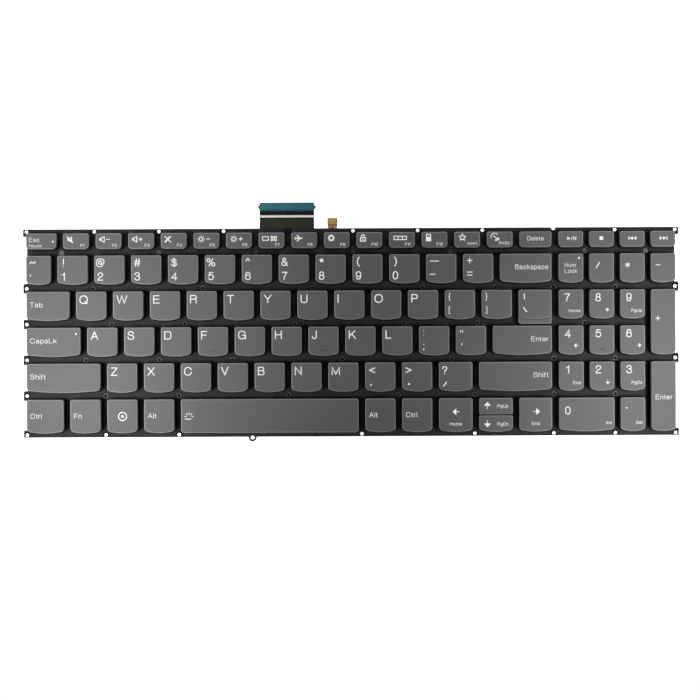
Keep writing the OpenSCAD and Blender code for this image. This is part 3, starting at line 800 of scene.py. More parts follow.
@dataclass
class KeycapMaker:
    """Moulded keycaps: a hollow shell with a rounded rim, a slightly dished top, the posts that
    hold its links and, on three keys, a homing bar. The rim takes a lighter finish, a painted
    highlight, and the homing bars and the line round the ledge's bow a darker one, painted shade.

    skirt, roof, ledge_roof and top are heights above the board's back: of the lower edge, the
    cavity's roof, that roof in the key with a ledge, and the top. shares are the dished top's
    rings as shares of the rim, and a root is what lies sunk in the shell.
    """

    skirt: float = 3.2
    roof: float = 4.6
    top: float = 5.5
    wall: float = 0.8
    rim_in: float = 0.5
    rim_down: float = 0.3
    rim_steps: int = 5
    dish: float = 0.04
    shares: tuple[float, ...] = (0.8, 0.5, 0.2)
    # The rim's bands take this finish: a lighter one, a painted highlight.
    edge_ink: int = 2
    # The homing bars and the line round the ledge's bow take this finish: painted shade.
    shade_ink: int = 3
    ledge_depth: float = 2.5
    ledge_drop: float = 0.6
    ledge_line: float = 0.35
    ledge_roof: float = 4.0
    line_proud: float = 0.01
    seat: float = 0.06
    homing: tuple[str, ...] = ("f", "j", "pad_5")
    homing_size: tuple[float, float, float] = (3.6, 0.6, 0.15)
    homing_in: float = 2.6
    homing_root: float = 0.1
    low_cut: float = 1.15
    shallow: float = 12.0
    post: tuple[float, float, float] = (1.2, 0.45, 1.1)
    post_x: float = 3.2
    post_low: float = 4.975
    post_high: float = 4.827
    post_root: float = 0.05

    def loft(self, outline: CapOutline, profile: list[tuple[float, float]], top: float,
             bottom: float) -> Patch:
        """Carry a profile of (inset, height) pairs round an outline, and close it with the dished top.

        The top's rings are the innermost ring shrunk towards the middle to a share s, and they lie
        at top - dish * (1 - s * s).

        Args:
            outline: The outline.
            profile: The pairs, from inside the cavity out to the rim.
            top: Height of the top.
            bottom: Height of the face that closes the start.

        Returns:
            The closed shell.
        """
        rings = [raised(outline.ring(inset), z) for inset, z in profile]
        inner = rings[-1][:, :2]
        rings += [raised(inner * share, top - self.dish * (1 - share ** 2))
                  for share in self.shares]
        skin = lofted(rings, np.array([0, 0, bottom]), np.array([0, 0, top - self.dish]))
        # Painted highlight: the rim's bands take the lighter finish, for the light that the rounded rim
        # catches.
        band = np.arange(len(rings) - 1)
        painted_highlight_band = (band >= len(profile) - 1 - self.rim_steps) & (band < len(profile) - 1)
        walls = np.tile(np.repeat(painted_highlight_band * self.edge_ink, len(inner)), 2)
        skin.ink = np.concatenate([walls, np.zeros(2 * len(inner), int)])
        return skin

    def rim(self, top: float) -> list[tuple[float, float]]:
        """A quarter of an ellipse from the side wall to the top."""
        angle = np.linspace(0, math.pi / 2, self.rim_steps + 1)
        return [(self.rim_in * (1 - math.cos(a)), top - self.rim_down * (1 - math.sin(a)))
                for a in angle]

    def shell(self, site: KeySite) -> list[Patch]:
        """The keycap's shell about its own middle."""
        outline = CapOutline(site.width, site.depth, site.form)
        hollow = [(self.wall, self.roof), (self.wall, self.skirt), (0.0, self.skirt)]
        if site.form != KeyForm.LEDGE:
            return [self.loft(outline, hollow + self.rim(self.top), self.top, self.roof)]
        hollow[0] = (self.wall, self.ledge_roof)
        step = self.top - self.ledge_drop
        sunk = step - self.rim_down
        upper = CapOutline(site.width, site.depth - self.ledge_depth, KeyForm.SMILE)
        face = [(self.seat, sunk), (0.0, sunk)] + self.rim(self.top)
        # Painted shadow: a dark line on the ledge round the raised bow, for the shadow under the bow.
        bow = np.clip(upper.ring(-self.ledge_line) + (0, self.ledge_depth / 2),
                      (self.rim_in - site.width / 2, -site.depth / 2),
                      (site.width / 2 - self.rim_in, site.depth / 2 - self.rim_in))
        return [self.loft(outline, hollow + self.rim(step), step, self.ledge_roof),
                self.loft(upper, face, self.top, sunk).moved(0, self.ledge_depth / 2),
                prism(bow, sunk, step + self.line_proud, self.shade_ink)]

    def build(self, site: KeySite) -> list[Patch]:
        """Everything that is moulded in one keycap, at its place."""
        patches = [patch.moved(site.x, site.y) for patch in self.shell(site)]
        if site.name in self.homing:
            # The homing bar takes the darker finish: painted shade along the bar.
            length, width, height = self.homing_size
            patches.append(block(site.x - length / 2, site.low + self.homing_in,
                                 self.top - self.homing_root, length, width,
                                 height + self.homing_root, self.shade_ink))
        return patches + self.posts(site)

    def posts(self, site: KeySite) -> list[Patch]:
        """Two posts under the roof for each pair of links, turned a quarter under a low key.

        A key wider or deeper than two others has two pairs, a quarter of its length from its
        middle.
        """
        cut = {KeyForm.SMILE: self.low_cut, KeyForm.LOWER: self.low_cut,
               KeyForm.LEDGE: self.low_cut + self.ledge_depth}
        middle = np.array([site.x, site.y + cut.get(site.form, 0.0) / 2])
        spots = [middle]
        if site.name == "space" or site.depth > 2 * self.shallow:
            apart = (site.width / 4, 0) if site.name == "space" else (0, site.depth / 4)
            spots = [middle - apart, middle + apart]
        width, thick, tall = self.post
        patches = []
        for spot in spots:
            for side, along in ((1, -self.post_low), (-1, self.post_high)):
                if site.depth < self.shallow:
                    size = (thick, width)
                    corner = spot + (-along - thick, side * self.post_x / 2 - width / 2)
                else:
                    size = (width, thick)
                    corner = spot + (side * self.post_x - width / 2, along)
                patches.append(block(*corner, self.roof - tall, *size, tall + self.post_root))
        return patches


def prism(outline: np.ndarray, low: float, high: float, ink: int) -> Patch:
    """A closed prism between two heights on a convex outline, whichever way its points run."""
    x, y = outline.T
    turns = np.sum(x * np.roll(y, -1) - y * np.roll(x, -1))
    points = outline if turns > 0 else outline[::-1]
    count = len(points)
    row = np.arange(count)
    following = np.roll(row, -1)
    fan = np.column_stack([np.zeros(count - 2, int), row[1:-1], row[2:]])
    walls = [np.column_stack([row, following, following + count]),
             np.column_stack([row, following + count, row + count])]
    solid = np.concatenate([raised(points, low), raised(points, high)])
    return Patch(solid, np.concatenate([fan[:, ::-1], fan + count] + walls), ink)


def ribbon(path: np.ndarray, width: float, low: float, high: float, closed: bool,
           ink: int) -> Patch:
    """A square-edged line of constant width along a path, mitred at its bends.

    At each point the two neighbouring stretches' normals n and m give the offset
    (n + m) / (1 + n . m) times half the width, so both edges stay parallel to the path.

    Args:
        path: The path's points.
        width: The line's width.
        low: Height of its lower face.
        high: Height of its upper face.
        closed: True if the last point joins the first.
        ink: The number of its finish.

    Returns:
        The closed line.
    """
    ahead = np.roll(path, -1, axis=0) - path
    ahead = ahead / np.maximum(np.linalg.norm(ahead, axis=1, keepdims=True), 1e-9)
    normal = np.column_stack([-ahead[:, 1], ahead[:, 0]])
    before = np.roll(normal, 1, axis=0)
    if not closed:
        before[0], normal[-1] = normal[0], before[-1]
    lean = 1 + np.sum(before * normal, axis=1, keepdims=True)
    side = (before + normal) / np.maximum(lean, 0.3) * width / 2
    rails = [(path + side, low), (path - side, low), (path - side, high), (path + side, high)]
    points = np.concatenate([raised(rail, z) for rail, z in rails])
    count = len(path)
    step = np.arange(count if closed else count - 1)
    ends = (step + 1) % count
    faces = [np.column_stack([step + count * j, ends + count * j, ends + count * k,
                              step + count * k]) for j, k in ((0, 1), (1, 2), (2, 3), (3, 0))]
    if not closed:
        first = count * np.arange(4)
        faces += [first[None], (first + count - 1)[None, ::-1]]
    return Patch(points, np.concatenate(faces), ink)


def joined(patches: list[Patch], ink: int) -> Patch:
    """One patch of several whose faces have four corners. Each face becomes the two triangles of
    its first, second and third and of its first, third and fourth corner."""
    starts = np.cumsum([0] + [len(patch.points) for patch in patches])
    faces = [np.concatenate([patch.faces[:, :3], patch.faces[:, [0, 2, 3]]])
             for patch in patches]
    return Patch(np.concatenate([patch.points for patch in patches]),
                 np.concatenate([face + start for face, start in zip(faces, starts)]), ink)


class Side(Enum):
    """What a word's level distance is measured from: an edge of the key or its middle, to the same
    edge or the middle of the ink. A SIGN has the middle of its ink at a place from the key's
    upper left corner, where the others stand on their baseline."""

    LEFT = "left edge"
    CENTRE = "middle"
    RIGHT = "right edge"
    SIGN = "upper left corner"


@dataclass(frozen=True)
class Word:
    """A printed word or sign: its text, the height of its capitals, its distance across from its
    side and its distance down from the key's upper edge."""

    text: str
    cap: float
    across: float
    down: float
    side: Side


def by_first_word(text: str) -> dict[str, str]:
    """The lines of a table, each by its first word."""
    return dict(line.split(" ", 1) for line in text.strip().splitlines())


@dataclass(frozen=True)
class Alphabet:
    """Letters drawn as strokes of one width, in the manner of a plain grotesque.

    A letter is a list of strokes between bars, each a list of x,y pairs. A stroke that starts
    with ~ is bent smoothly by its inner points, and one that starts with @ is bent so and closed.
    The middle of a foot stroke lies at y 0 and that of a capital's top stroke at y 9. Strokes
    that cross lie step_up over each other, so that no two faces share one plane.
    """

    weight: float = 1.2
    gap: float = 1.75
    steps: int = 4
    step_up: float = 0.05
    letters: dict[str, str] = field(default_factory=lambda: by_first_word(LETTERS))

    @property
    def cap(self) -> float:
        """Height of a capital's ink."""
        return 9 + self.weight

    def bent(self, corners: np.ndarray, closed: bool) -> np.ndarray:
        """A path of parabolas that touch the middles of a control polygon's sides.

        Each inner corner c gives the parabola (1 - t)^2 a + 2 t (1 - t) c + t^2 b from the middle
        a of the side before it to the middle b of the side after it. An open path's outer ends
        take the place of its first and last middle.
        """
        middles = (corners + np.roll(corners, -1, axis=0)) / 2
        if closed:
            starts, turns, ends = np.roll(middles, 1, axis=0), corners, middles
        else:
            middles[0], middles[-2] = corners[0], corners[-1]
            starts, turns, ends = middles[:-2], corners[1:-1], middles[1:-1]
        t = np.linspace(0, 1, self.steps, endpoint=False)[None, :, None]
        path = ((1 - t) ** 2 * starts[:, None] + 2 * t * (1 - t) * turns[:, None]
                + t ** 2 * ends[:, None]).reshape(-1, 2)
        return path if closed else np.concatenate([path, ends[-1:]])

    def stroke(self, text: str, ink: int) -> Patch:
        """One stroke as a closed line, with square ends half a width beyond an open path's."""
        corners = np.array([pair.split(",") for pair in text.lstrip("~@").split()], float)
        closed = text.startswith("@")
        path = self.bent(corners, closed) if text[0] in "~@" else corners
        if not closed:
            for end, inner in ((0, 1), (-1, -2)):
                way = path[end] - path[inner]
                path[end] += way * self.weight / 2 / np.linalg.norm(way)
        return ribbon(path, self.weight, 0.0, 1.0, closed, ink)

    def write(self, text: str, ink: int) -> Patch:
        """A line of text, its baseline's ink at y 0 and its depth from 0 to 1."""
        patches, start = [], 0.0
        for letter in text:
            drawn = [self.stroke(part.strip(), ink) for part in self.letters[letter].split("|")]
            shift = start - min(patch.span()[0][0] for patch in drawn)
            patches += [patch.moved(shift, self.weight / 2, self.step_up * number)
                        for number, patch in enumerate(drawn)]
            start = max(patch.span()[1][0] for patch in patches) + self.gap
        return joined(patches, ink)


LETTERS = """
A 0,0 3.85,9 7.7,0 | 1.5,3.1 6.2,3.1
B ~0,9 2.5,9 6.1,9 6.1,4.8 2.5,4.8 0,4.8 | ~0,4.8 2.7,4.8 6.6,4.8 6.6,0 2.7,0 0,0 | 0,0 0,9
C ~7.7,6.4 7.2,9.2 0,9.2 0,-0.2 7.4,-0.2 7.8,3.1
D ~0,9 2.2,9 7.2,9 7.2,0 2.2,0 0,0 | 0,0 0,9
E 6.3,9 0,9 0,0 6.4,0 | 0,4.7 5.9,4.7
F 5.9,9 0,9 0,0 | 0,4.6 5.2,4.6
G ~7.8,6.6 7.3,9.2 0,9.2 0,-0.2 8,-0.2 8,4.2 | 4.9,4.3 8.1,4.3 8.1,0
H 0,0 0,9 | 6.9,0 6.9,9 | 0,4.7 6.9,4.7
I 0,0 0,9
J ~4.6,9 4.6,5 4.6,-0.2 0,-0.2 0,2.6
K 0,0 0,9 | 6.5,9 0,2.8 | 2.7,5.3 7,0
L 0,9 0,0 5.4,0
M 0,0 0,9 4.3,0.3 8.6,9 8.6,0
N 0,0 0,9 6.9,0 6.9,9
O @0,-0.2 0,9.2 8.7,9.2 8.7,-0.2
P ~0,9 2.6,9 6.4,9 6.4,4.1 2.6,4.1 0,4.1 | 0,0 0,9
Q @0,-0.2 0,9.2 8.7,9.2 8.7,-0.2 | 5.8,2 8.3,-0.4
R ~0,9 2.8,9 6.7,9 6.7,4.6 2.8,4.6 0,4.6 | 0,0 0,9 | ~4.2,4.6 6.6,4.6 6.3,1.5 6.9,0
S ~6.3,6.6 6.2,9.2 0.3,9.2 0.3,5.2 6.8,4.4 6.8,-0.2 0,-0.2 0,2.6
T 0,9 7.1,9 | 3.55,9 3.55,0
U ~0,9 0,6 0,-0.2 6.8,-0.2 6.8,6 6.8,9
V 0,9 3.7,0 7.4,9
W 0,9 2.9,0 5.8,9 8.7,0 11.6,9
X 0.2,9 7.4,0 | 7.2,9 0,0
Y 0,9 3.75,4.1 7.5,9 | 3.75,4.1 3.75,0
Z 0.3,9 6.6,9 0,0 6.8,0
a ~0.3,4.6 0.3,6.4 4.9,6.4 4.9,3 4.9,0.9 5.5,0 | ~4.9,3.8 0,3.9 0,-0.2 4.9,-0.2 4.9,2.4
b 0,0 0,9 | @0,-0.2 0,6.4 5.2,6.4 5.2,-0.2
c ~4.8,4.3 4.7,6.4 0,6.4 0,-0.2 4.8,-0.2 4.9,2.1
d 5.2,0 5.2,9 | @0,-0.2 0,6.4 5.2,6.4 5.2,-0.2
e 0,3.2 5.4,3.2 | ~5.4,3.2 5.4,6.4 0,6.4 0,-0.2 4.9,-0.2 5.3,1.7
f ~2.6,9.1 1,9.2 1,7 1,0 | 0.4,6.1 2.4,6.1
g ~5,6.2 5,2 5,-2.7 0.3,-2.7 0.3,-1.2 | @0,-0.2 0,6.4 5,6.4 5,-0.2
h 0,0 0,9 | ~0,3.6 0,6.4 4.8,6.4 4.8,3 4.8,0
i 0,0 0,6.2 | 0,8.9 0,9
k 0,0 0,9 | 4.4,6.2 0,2 | 1.9,3.8 4.8,0
l 0,0 0,9
m 0,0 0,6.2 | ~0,3.8 0,6.4 4.3,6.4 4.3,3 4.3,0 | ~4.3,3.8 4.3,6.4 8.6,6.4 8.6,3 8.6,0
n 0,0 0,6.2 | ~0,3.6 0,6.4 4.8,6.4 4.8,3 4.8,0
o @0,-0.2 0,6.4 5.6,6.4 5.6,-0.2
p 0,-2.6 0,6.2 | @0,-0.2 0,6.4 5.2,6.4 5.2,-0.2
r 0,0 0,6.2 | ~0,3.4 0,6.2 2.3,6.2
s ~4.5,4.6 4.5,6.4 0.2,6.4 0.3,3.5 4.9,3 4.9,-0.2 0,-0.2 0,1.7
t ~1.1,8 1.1,4 1.1,-0.1 2.5,0 | 0.4,6.1 2.4,6.1
u ~0,6.2 0,3 0,-0.2 4.7,-0.2 4.7,2.6 | 4.7,0 4.7,6.2
0 @0,-0.2 0,9.2 5.6,9.2 5.6,-0.2
1 ~0.4,6.8 2.3,6.8 2.6,8.8 | 2.75,9 2.75,0
2 ~0.1,6.2 0.1,9.2 5.5,9.2 5.5,5 0.3,2.9 0,0 | 0,0 5.7,0
3 ~0.2,6.8 0.2,9.2 5.3,9.2 5.3,4.9 2.5,4.9 | ~2.5,4.9 5.8,4.9 5.8,-0.2 0,-0.2 0,2.4
4 4.5,0 4.5,9 0,2.6 5.9,2.6
5 5.2,9 1,9 0.4,4.9 | ~0.6,4.9 1.6,6.1 5.7,6.1 5.7,-0.2 0,-0.2 0,2.1
6 ~5.3,7.2 5,9.2 0,9.2 0,3 | @0,-0.2 0,5.8 5.7,5.8 5.7,-0.2
7 0,9 5.7,9 | ~5.6,8.8 2.4,5.2 1.9,0
8 @0.5,4.9 0.5,9.2 5.1,9.2 5.1,4.9 | @0,-0.2 0,4.9 5.6,4.9 5.6,-0.2
9 @0,3.2 0,9.2 5.6,9.2 5.6,3.2 | ~0.4,1.8 0.6,-0.2 5.6,-0.2 5.6,6
! 0,3 0,9 | 0,-0.1 0,0.1
@ ~7.2,0.2 6,-0.8 0,-0.8 0,9.2 9.2,9.2 9.2,2.4 6.2,2 | @2.8,2.4 2.8,6.6 6.2,6.6 6.2,2.4
# 1.6,0 3,9 | 4.8,0 6.2,9 | 0.9,6.1 7.2,6.1 | 0.5,3 6.8,3
$ ~5.2,6.6 5,8.7 0.2,8.7 0.3,5 5.8,4.3 5.8,0.2 0,0.2 0,2.4 | 2.9,-0.8 2.9,9.7
% @0,5 0,9.2 3.6,9.2 3.6,5 | @5.8,-0.2 5.8,4 9.4,4 9.4,-0.2 | 7,9 2.4,0
^ 0,5.6 2.2,8.6 4.4,5.6
& ~6.9,-0.2 1.2,6.2 1.2,9.2 5,9.2 5,6.2 0,4.2 0,-0.2 5.6,-0.2 6.4,4
* 2,7 2,8.6 | 2,7 0.5,7.5 | 2,7 3.5,7.5 | 2,7 1,5.7 | 2,7 3,5.7
( ~2.2,9.4 0,7.4 0,0.2 2.2,-1.8
) ~0,9.4 2.2,7.4 2.2,0.2 0,-1.8
~ ~0,3.4 0.9,5.8 3.1,4.6 5.3,3.4 6.2,5.8
` 0,9 1,7.8
{ ~2.4,9.6 1,9.8 1,6 1,4 0.2,3.7 | ~0.2,3.7 1,3.4 1,1 1,-2.4 2.4,-2.2
} ~0,9.6 1.4,9.8 1.4,6 1.4,4 2.2,3.7 | ~2.2,3.7 1.4,3.4 1.4,1 1.4,-2.4 0,-2.2
[ 1.8,9.4 0,9.4 0,-2.2 1.8,-2.2
] 0,9.4 1.8,9.4 1.8,-2.2 0,-2.2
: 0,5.8 0,6 | 0,-0.1 0,0.1
; 0,5.8 0,6 | 0,0.1 0,-0.4 -0.5,-1.4
" 0,8.6 0,6.8 | 2.6,8.6 2.6,6.8
' 0,8.6 0,6.8
< 6.2,7.2 0,4.3 6.2,1.4
> 0,7.2 6.2,4.3 0,1.4
, 0,0.1 0,-0.4 -0.5,-1.4
? ~0,6.6 0,9.2 5,9.2 5,5 2.6,4.9 2.6,2.6 | 2.6,-0.1 2.6,0.1
"""


@dataclass
class Printer:
    """Prints words as thin closed letters that stand a hair above the keycap's top. Capitals
    whose height lies between the two light_caps take the lighter alphabet."""

    low: float
    high: float
    ink: int = 1
    spread: float = 1.04
    stretch: dict[str, float] = field(default_factory=lambda: {
        "Backspace": 0.89, "Delete": 0.9, "Shift": 1.06, "CapsLk": 1.05})
    light_caps: tuple[float, float] = (2.0, 3.5)
    alphabet: Alphabet = field(default_factory=Alphabet)
    light: Alphabet = field(default_factory=lambda: Alphabet(weight=1.0))

    def place(self, word: Word, site: KeySite) -> Patch:
        """The word on its key."""
        low, high = self.light_caps
        alphabet = self.light if low <= word.cap <= high else self.alphabet
        unit = alphabet.write(word.text, self.ink)
        scale = word.cap / alphabet.cap
        spread = scale * self.spread * self.stretch.get(word.text, 1.0)
        points = unit.points * (spread, scale, self.high - self.low)
        (left, bottom), (right, top) = points[:, :2].min(axis=0), points[:, :2].max(axis=0)
        anchors = {Side.LEFT: (site.left + word.across, left),
                   Side.CENTRE: (site.x + word.across, (left + right) / 2),
                   Side.RIGHT: (site.right - word.across, right),
                   Side.SIGN: (site.left + word.across, (left + right) / 2)}
        goal, own = anchors[word.side]
        rest = (bottom + top) / 2 if word.side == Side.SIGN else 0.0
        return Patch(points, unit.faces, self.ink).moved(goal - own, site.top - word.down - rest,
                                                         self.low)


# What is printed on the keys: the height of a capital, the distance across, the distance down and
# the side that both are measured from, then each key with its word.
WORDS = """
4.3 1.75 6.3 LEFT q:Q w:W e:E r:R t:T y:Y u:U i:I o:O p:P a:A s:S d:D f:F g:G h:H j:J k:K l:L
4.3 1.75 6.3 LEFT z:Z x:X c:C v:V b:B n:N m:M
4.1 3.15 3.75 SIGN 1:! 2:@ 3:# 4:$ 5:% 7:& 9:( 0:)
4.1 3.15 2.4 SIGN 6:^
4.9 3.15 3 SIGN 8:*
4.1 3.15 10.85 SIGN 1:1 2:2 3:3 4:4 5:5 6:6 7:7 8:8 9:9 0:0
2.55 1.95 8 LEFT tab:Tab caps_lock:CapsLk left_shift:Shift
2.55 1.95 9.7 LEFT left_ctrl:Ctrl fn:Fn left_alt:Alt right_alt:Alt right_ctrl:Ctrl
2.55 1.8 8 RIGHT backspace:Backspace enter:Enter right_shift:Shift
1.6 1.6 11.65 RIGHT pad_7:Home pad_9:PgUp pad_1:End pad_3:PgDn
1.6 1.6 13.65 RIGHT pad_0:Ins point:Del
4.1 4.45 4.05 SIGN pad_1:1 pad_2:2 pad_3:3 pad_4:4 pad_5:5 pad_6:6 pad_7:7 pad_8:8 pad_9:9
4.1 4.45 6.6 SIGN pad_0:0
1.5 2.35 7.05 RIGHT f1:F1 f2:F2 f3:F3 f4:F4 f5:F5 f6:F6 f7:F7 f8:F8 f9:F9 f10:F10 f11:F11 f12:F12
4.1 3.5 3.5 SIGN grave:~
4.1 2.3 10.2 SIGN grave:`
3.1 2.45 3.5 SIGN left_bracket:{ right_bracket:}
3 2.45 10.4 SIGN left_bracket:[ right_bracket:]
3.4 2.35 3.4 SIGN semicolon::
3.9 2.35 10.7 SIGN semicolon:;
3.9 2.9 2.75 SIGN quote:"
3.9 3 9.3 SIGN quote:'
4.1 3.5 4 SIGN comma:< period:>
4.1 2.9 11.6 SIGN comma:,
4.1 2.95 4.2 SIGN slash:?
2.25 1.6 4.35 LEFT esc:Esc
1.35 1.6 7.05 LEFT esc:FnLock
1.3 1.6 6.6 RIGHT insert:Insert
1.45 1.7 6.6 RIGHT print:PrtSc
2.2 0 4.6 CENTRE delete:Delete
2.05 3.1 6.95 LEFT num_lock:Num
2.05 3.1 9.95 LEFT num_lock:Lock
2.5 2.2 19.6 LEFT pad_enter:Enter
1.65 0 14.05 CENTRE left:Home right:End
1.65 2.3 4.95 RIGHT up:PgUp
1.65 2.3 5.25 RIGHT down:PgDn
"""

# The icons: each key with its shapes. A shape is the name of one of the pen's methods and its
# values, and a place or a direction is a pair right,down from the key's upper left corner.
ICONS = """
esc disc 13.9,4.2 0.5
caps_lock disc 25.6,3.2 0.5
num_lock disc 10.5,2.35 0.5
f1 speaker 2.3,3.2 2.8 | line 0.55 2,1.6 5.2,4.8
f2 speaker 2,3.15 3.2 | dash 6.4,3.15 1.9
f3 speaker 2,3.15 3.2 | plus 6.4,3.15 1.9
f4 line 0.75 2.1,4.8 5,1.7 | line 0.5 2.1,1.6 5.2,4.8
f5 circle 4,3.2 0.95 0.42 | rays 4,3.2 1.35 1.85 0.36 | dash 7.6,3.2 1.9
f6 circle 4,3.2 0.95 0.42 | rays 4,3.2 1.35 1.85 0.36 | plus 7.6,3.2 1.9
f7 box 2.1,2.1 2.9,1.9 0.42 | box 6.5,2.1 2.6,1.9 0.42 | cross 0.42 6.3,1.7 9.3,4.5
f8 line 0.6 2,3 5.7,3 | line 0.6 3,1.4 4.5,3 3,4.6 | line 0.4 1.9,2.3 2.4,3 1.9,3.7
f9 circle 3.85,2.95 1.1 0.6 | rays 3.85,2.95 1.2 1.75 0.6
f10 box 2.15,2.75 2.5,1.85 0.5 | disc 3.4,3.65 0.35 | arc 3.4,2.2 0.85 0.5 180 360 10
f11 box 2.55,2.2 2.15,1.75 0.42 | box 4.7,2.2 2.15,1.75 0.42 | box 6.85,2.2 2.15,1.75 0.42
f12 box 2.5,1.3 2.1,3.3 0.5 | block 2.5,2.6 2.1,2
insert spikes 4.2,2.95 1.75 0.85 0.4
print arc 3.9,2.6 1.8 0.36 150 330 12 | line 0.4 3.2,1.9 6.2,4.6 | disc 4.7,4.4 0.5 | disc 5.9,3.6 0.5
play wedge 6.1,3.6 1,0 1.6 1.9 | line 0.3 6.4,4.5 7.3,2.7 | bars 2.7 4.5 7.9 8.9
stop block 5.3,2.65 1.9,1.9
previous bars 2.75 4.6 4.6 | wedge 4.9,3.68 -1,0 1.75 1.85 | wedge 6.7,3.68 -1,0 1.75 1.85
next wedge 6.3,3.68 1,0 1.75 1.85 | wedge 8.1,3.68 1,0 1.75 1.85 | bars 2.75 4.6 8.4
minus dash 4.35,3.6 4.6 | dash 3.3,10.4 2.9
equals plus 3.5,3.4 2.8 | dash 3.5,9.35 2.8 | dash 3.5,10.9 2.8
backslash line 0.5 3,1.9 3,4.9 | line 0.55 2.4,9 4.3,11.5
period disc 3.55,11.2 0.5
slash line 0.55 4,10.1 2.3,12.5
divide line 0.5 5.3,4.45 3.4,7.5
times star 3.85,6 1.35 0.4
subtract dash 3.75,6 2.6
add plus 3.5,15 2.4
point disc 3.1,5.4 0.45
pad_8 arrow 9.15,10.6 0,-1 2.3
pad_2 arrow 9.15,10.6 0,1 2.3
pad_4 arrow 8.9,10.3 -1,0 2.4
pad_6 arrow 9.6,10.3 1,0 2.4
left arrow 8.75,7 -1,0 3.6
right arrow 8.85,7.05 1,0 3.6
up arrow 4.2,3.8 0,-1 3.6
down arrow 4.2,4.3 0,1 3.6
menu circle 7.9,8.7 2.1 0.55 | disc 7.9,8.7 0.75
space line 0.5 2.1,10.2 5.3,10.2 | fan 4.2,9.2 1.3 2.4 0.4
"""


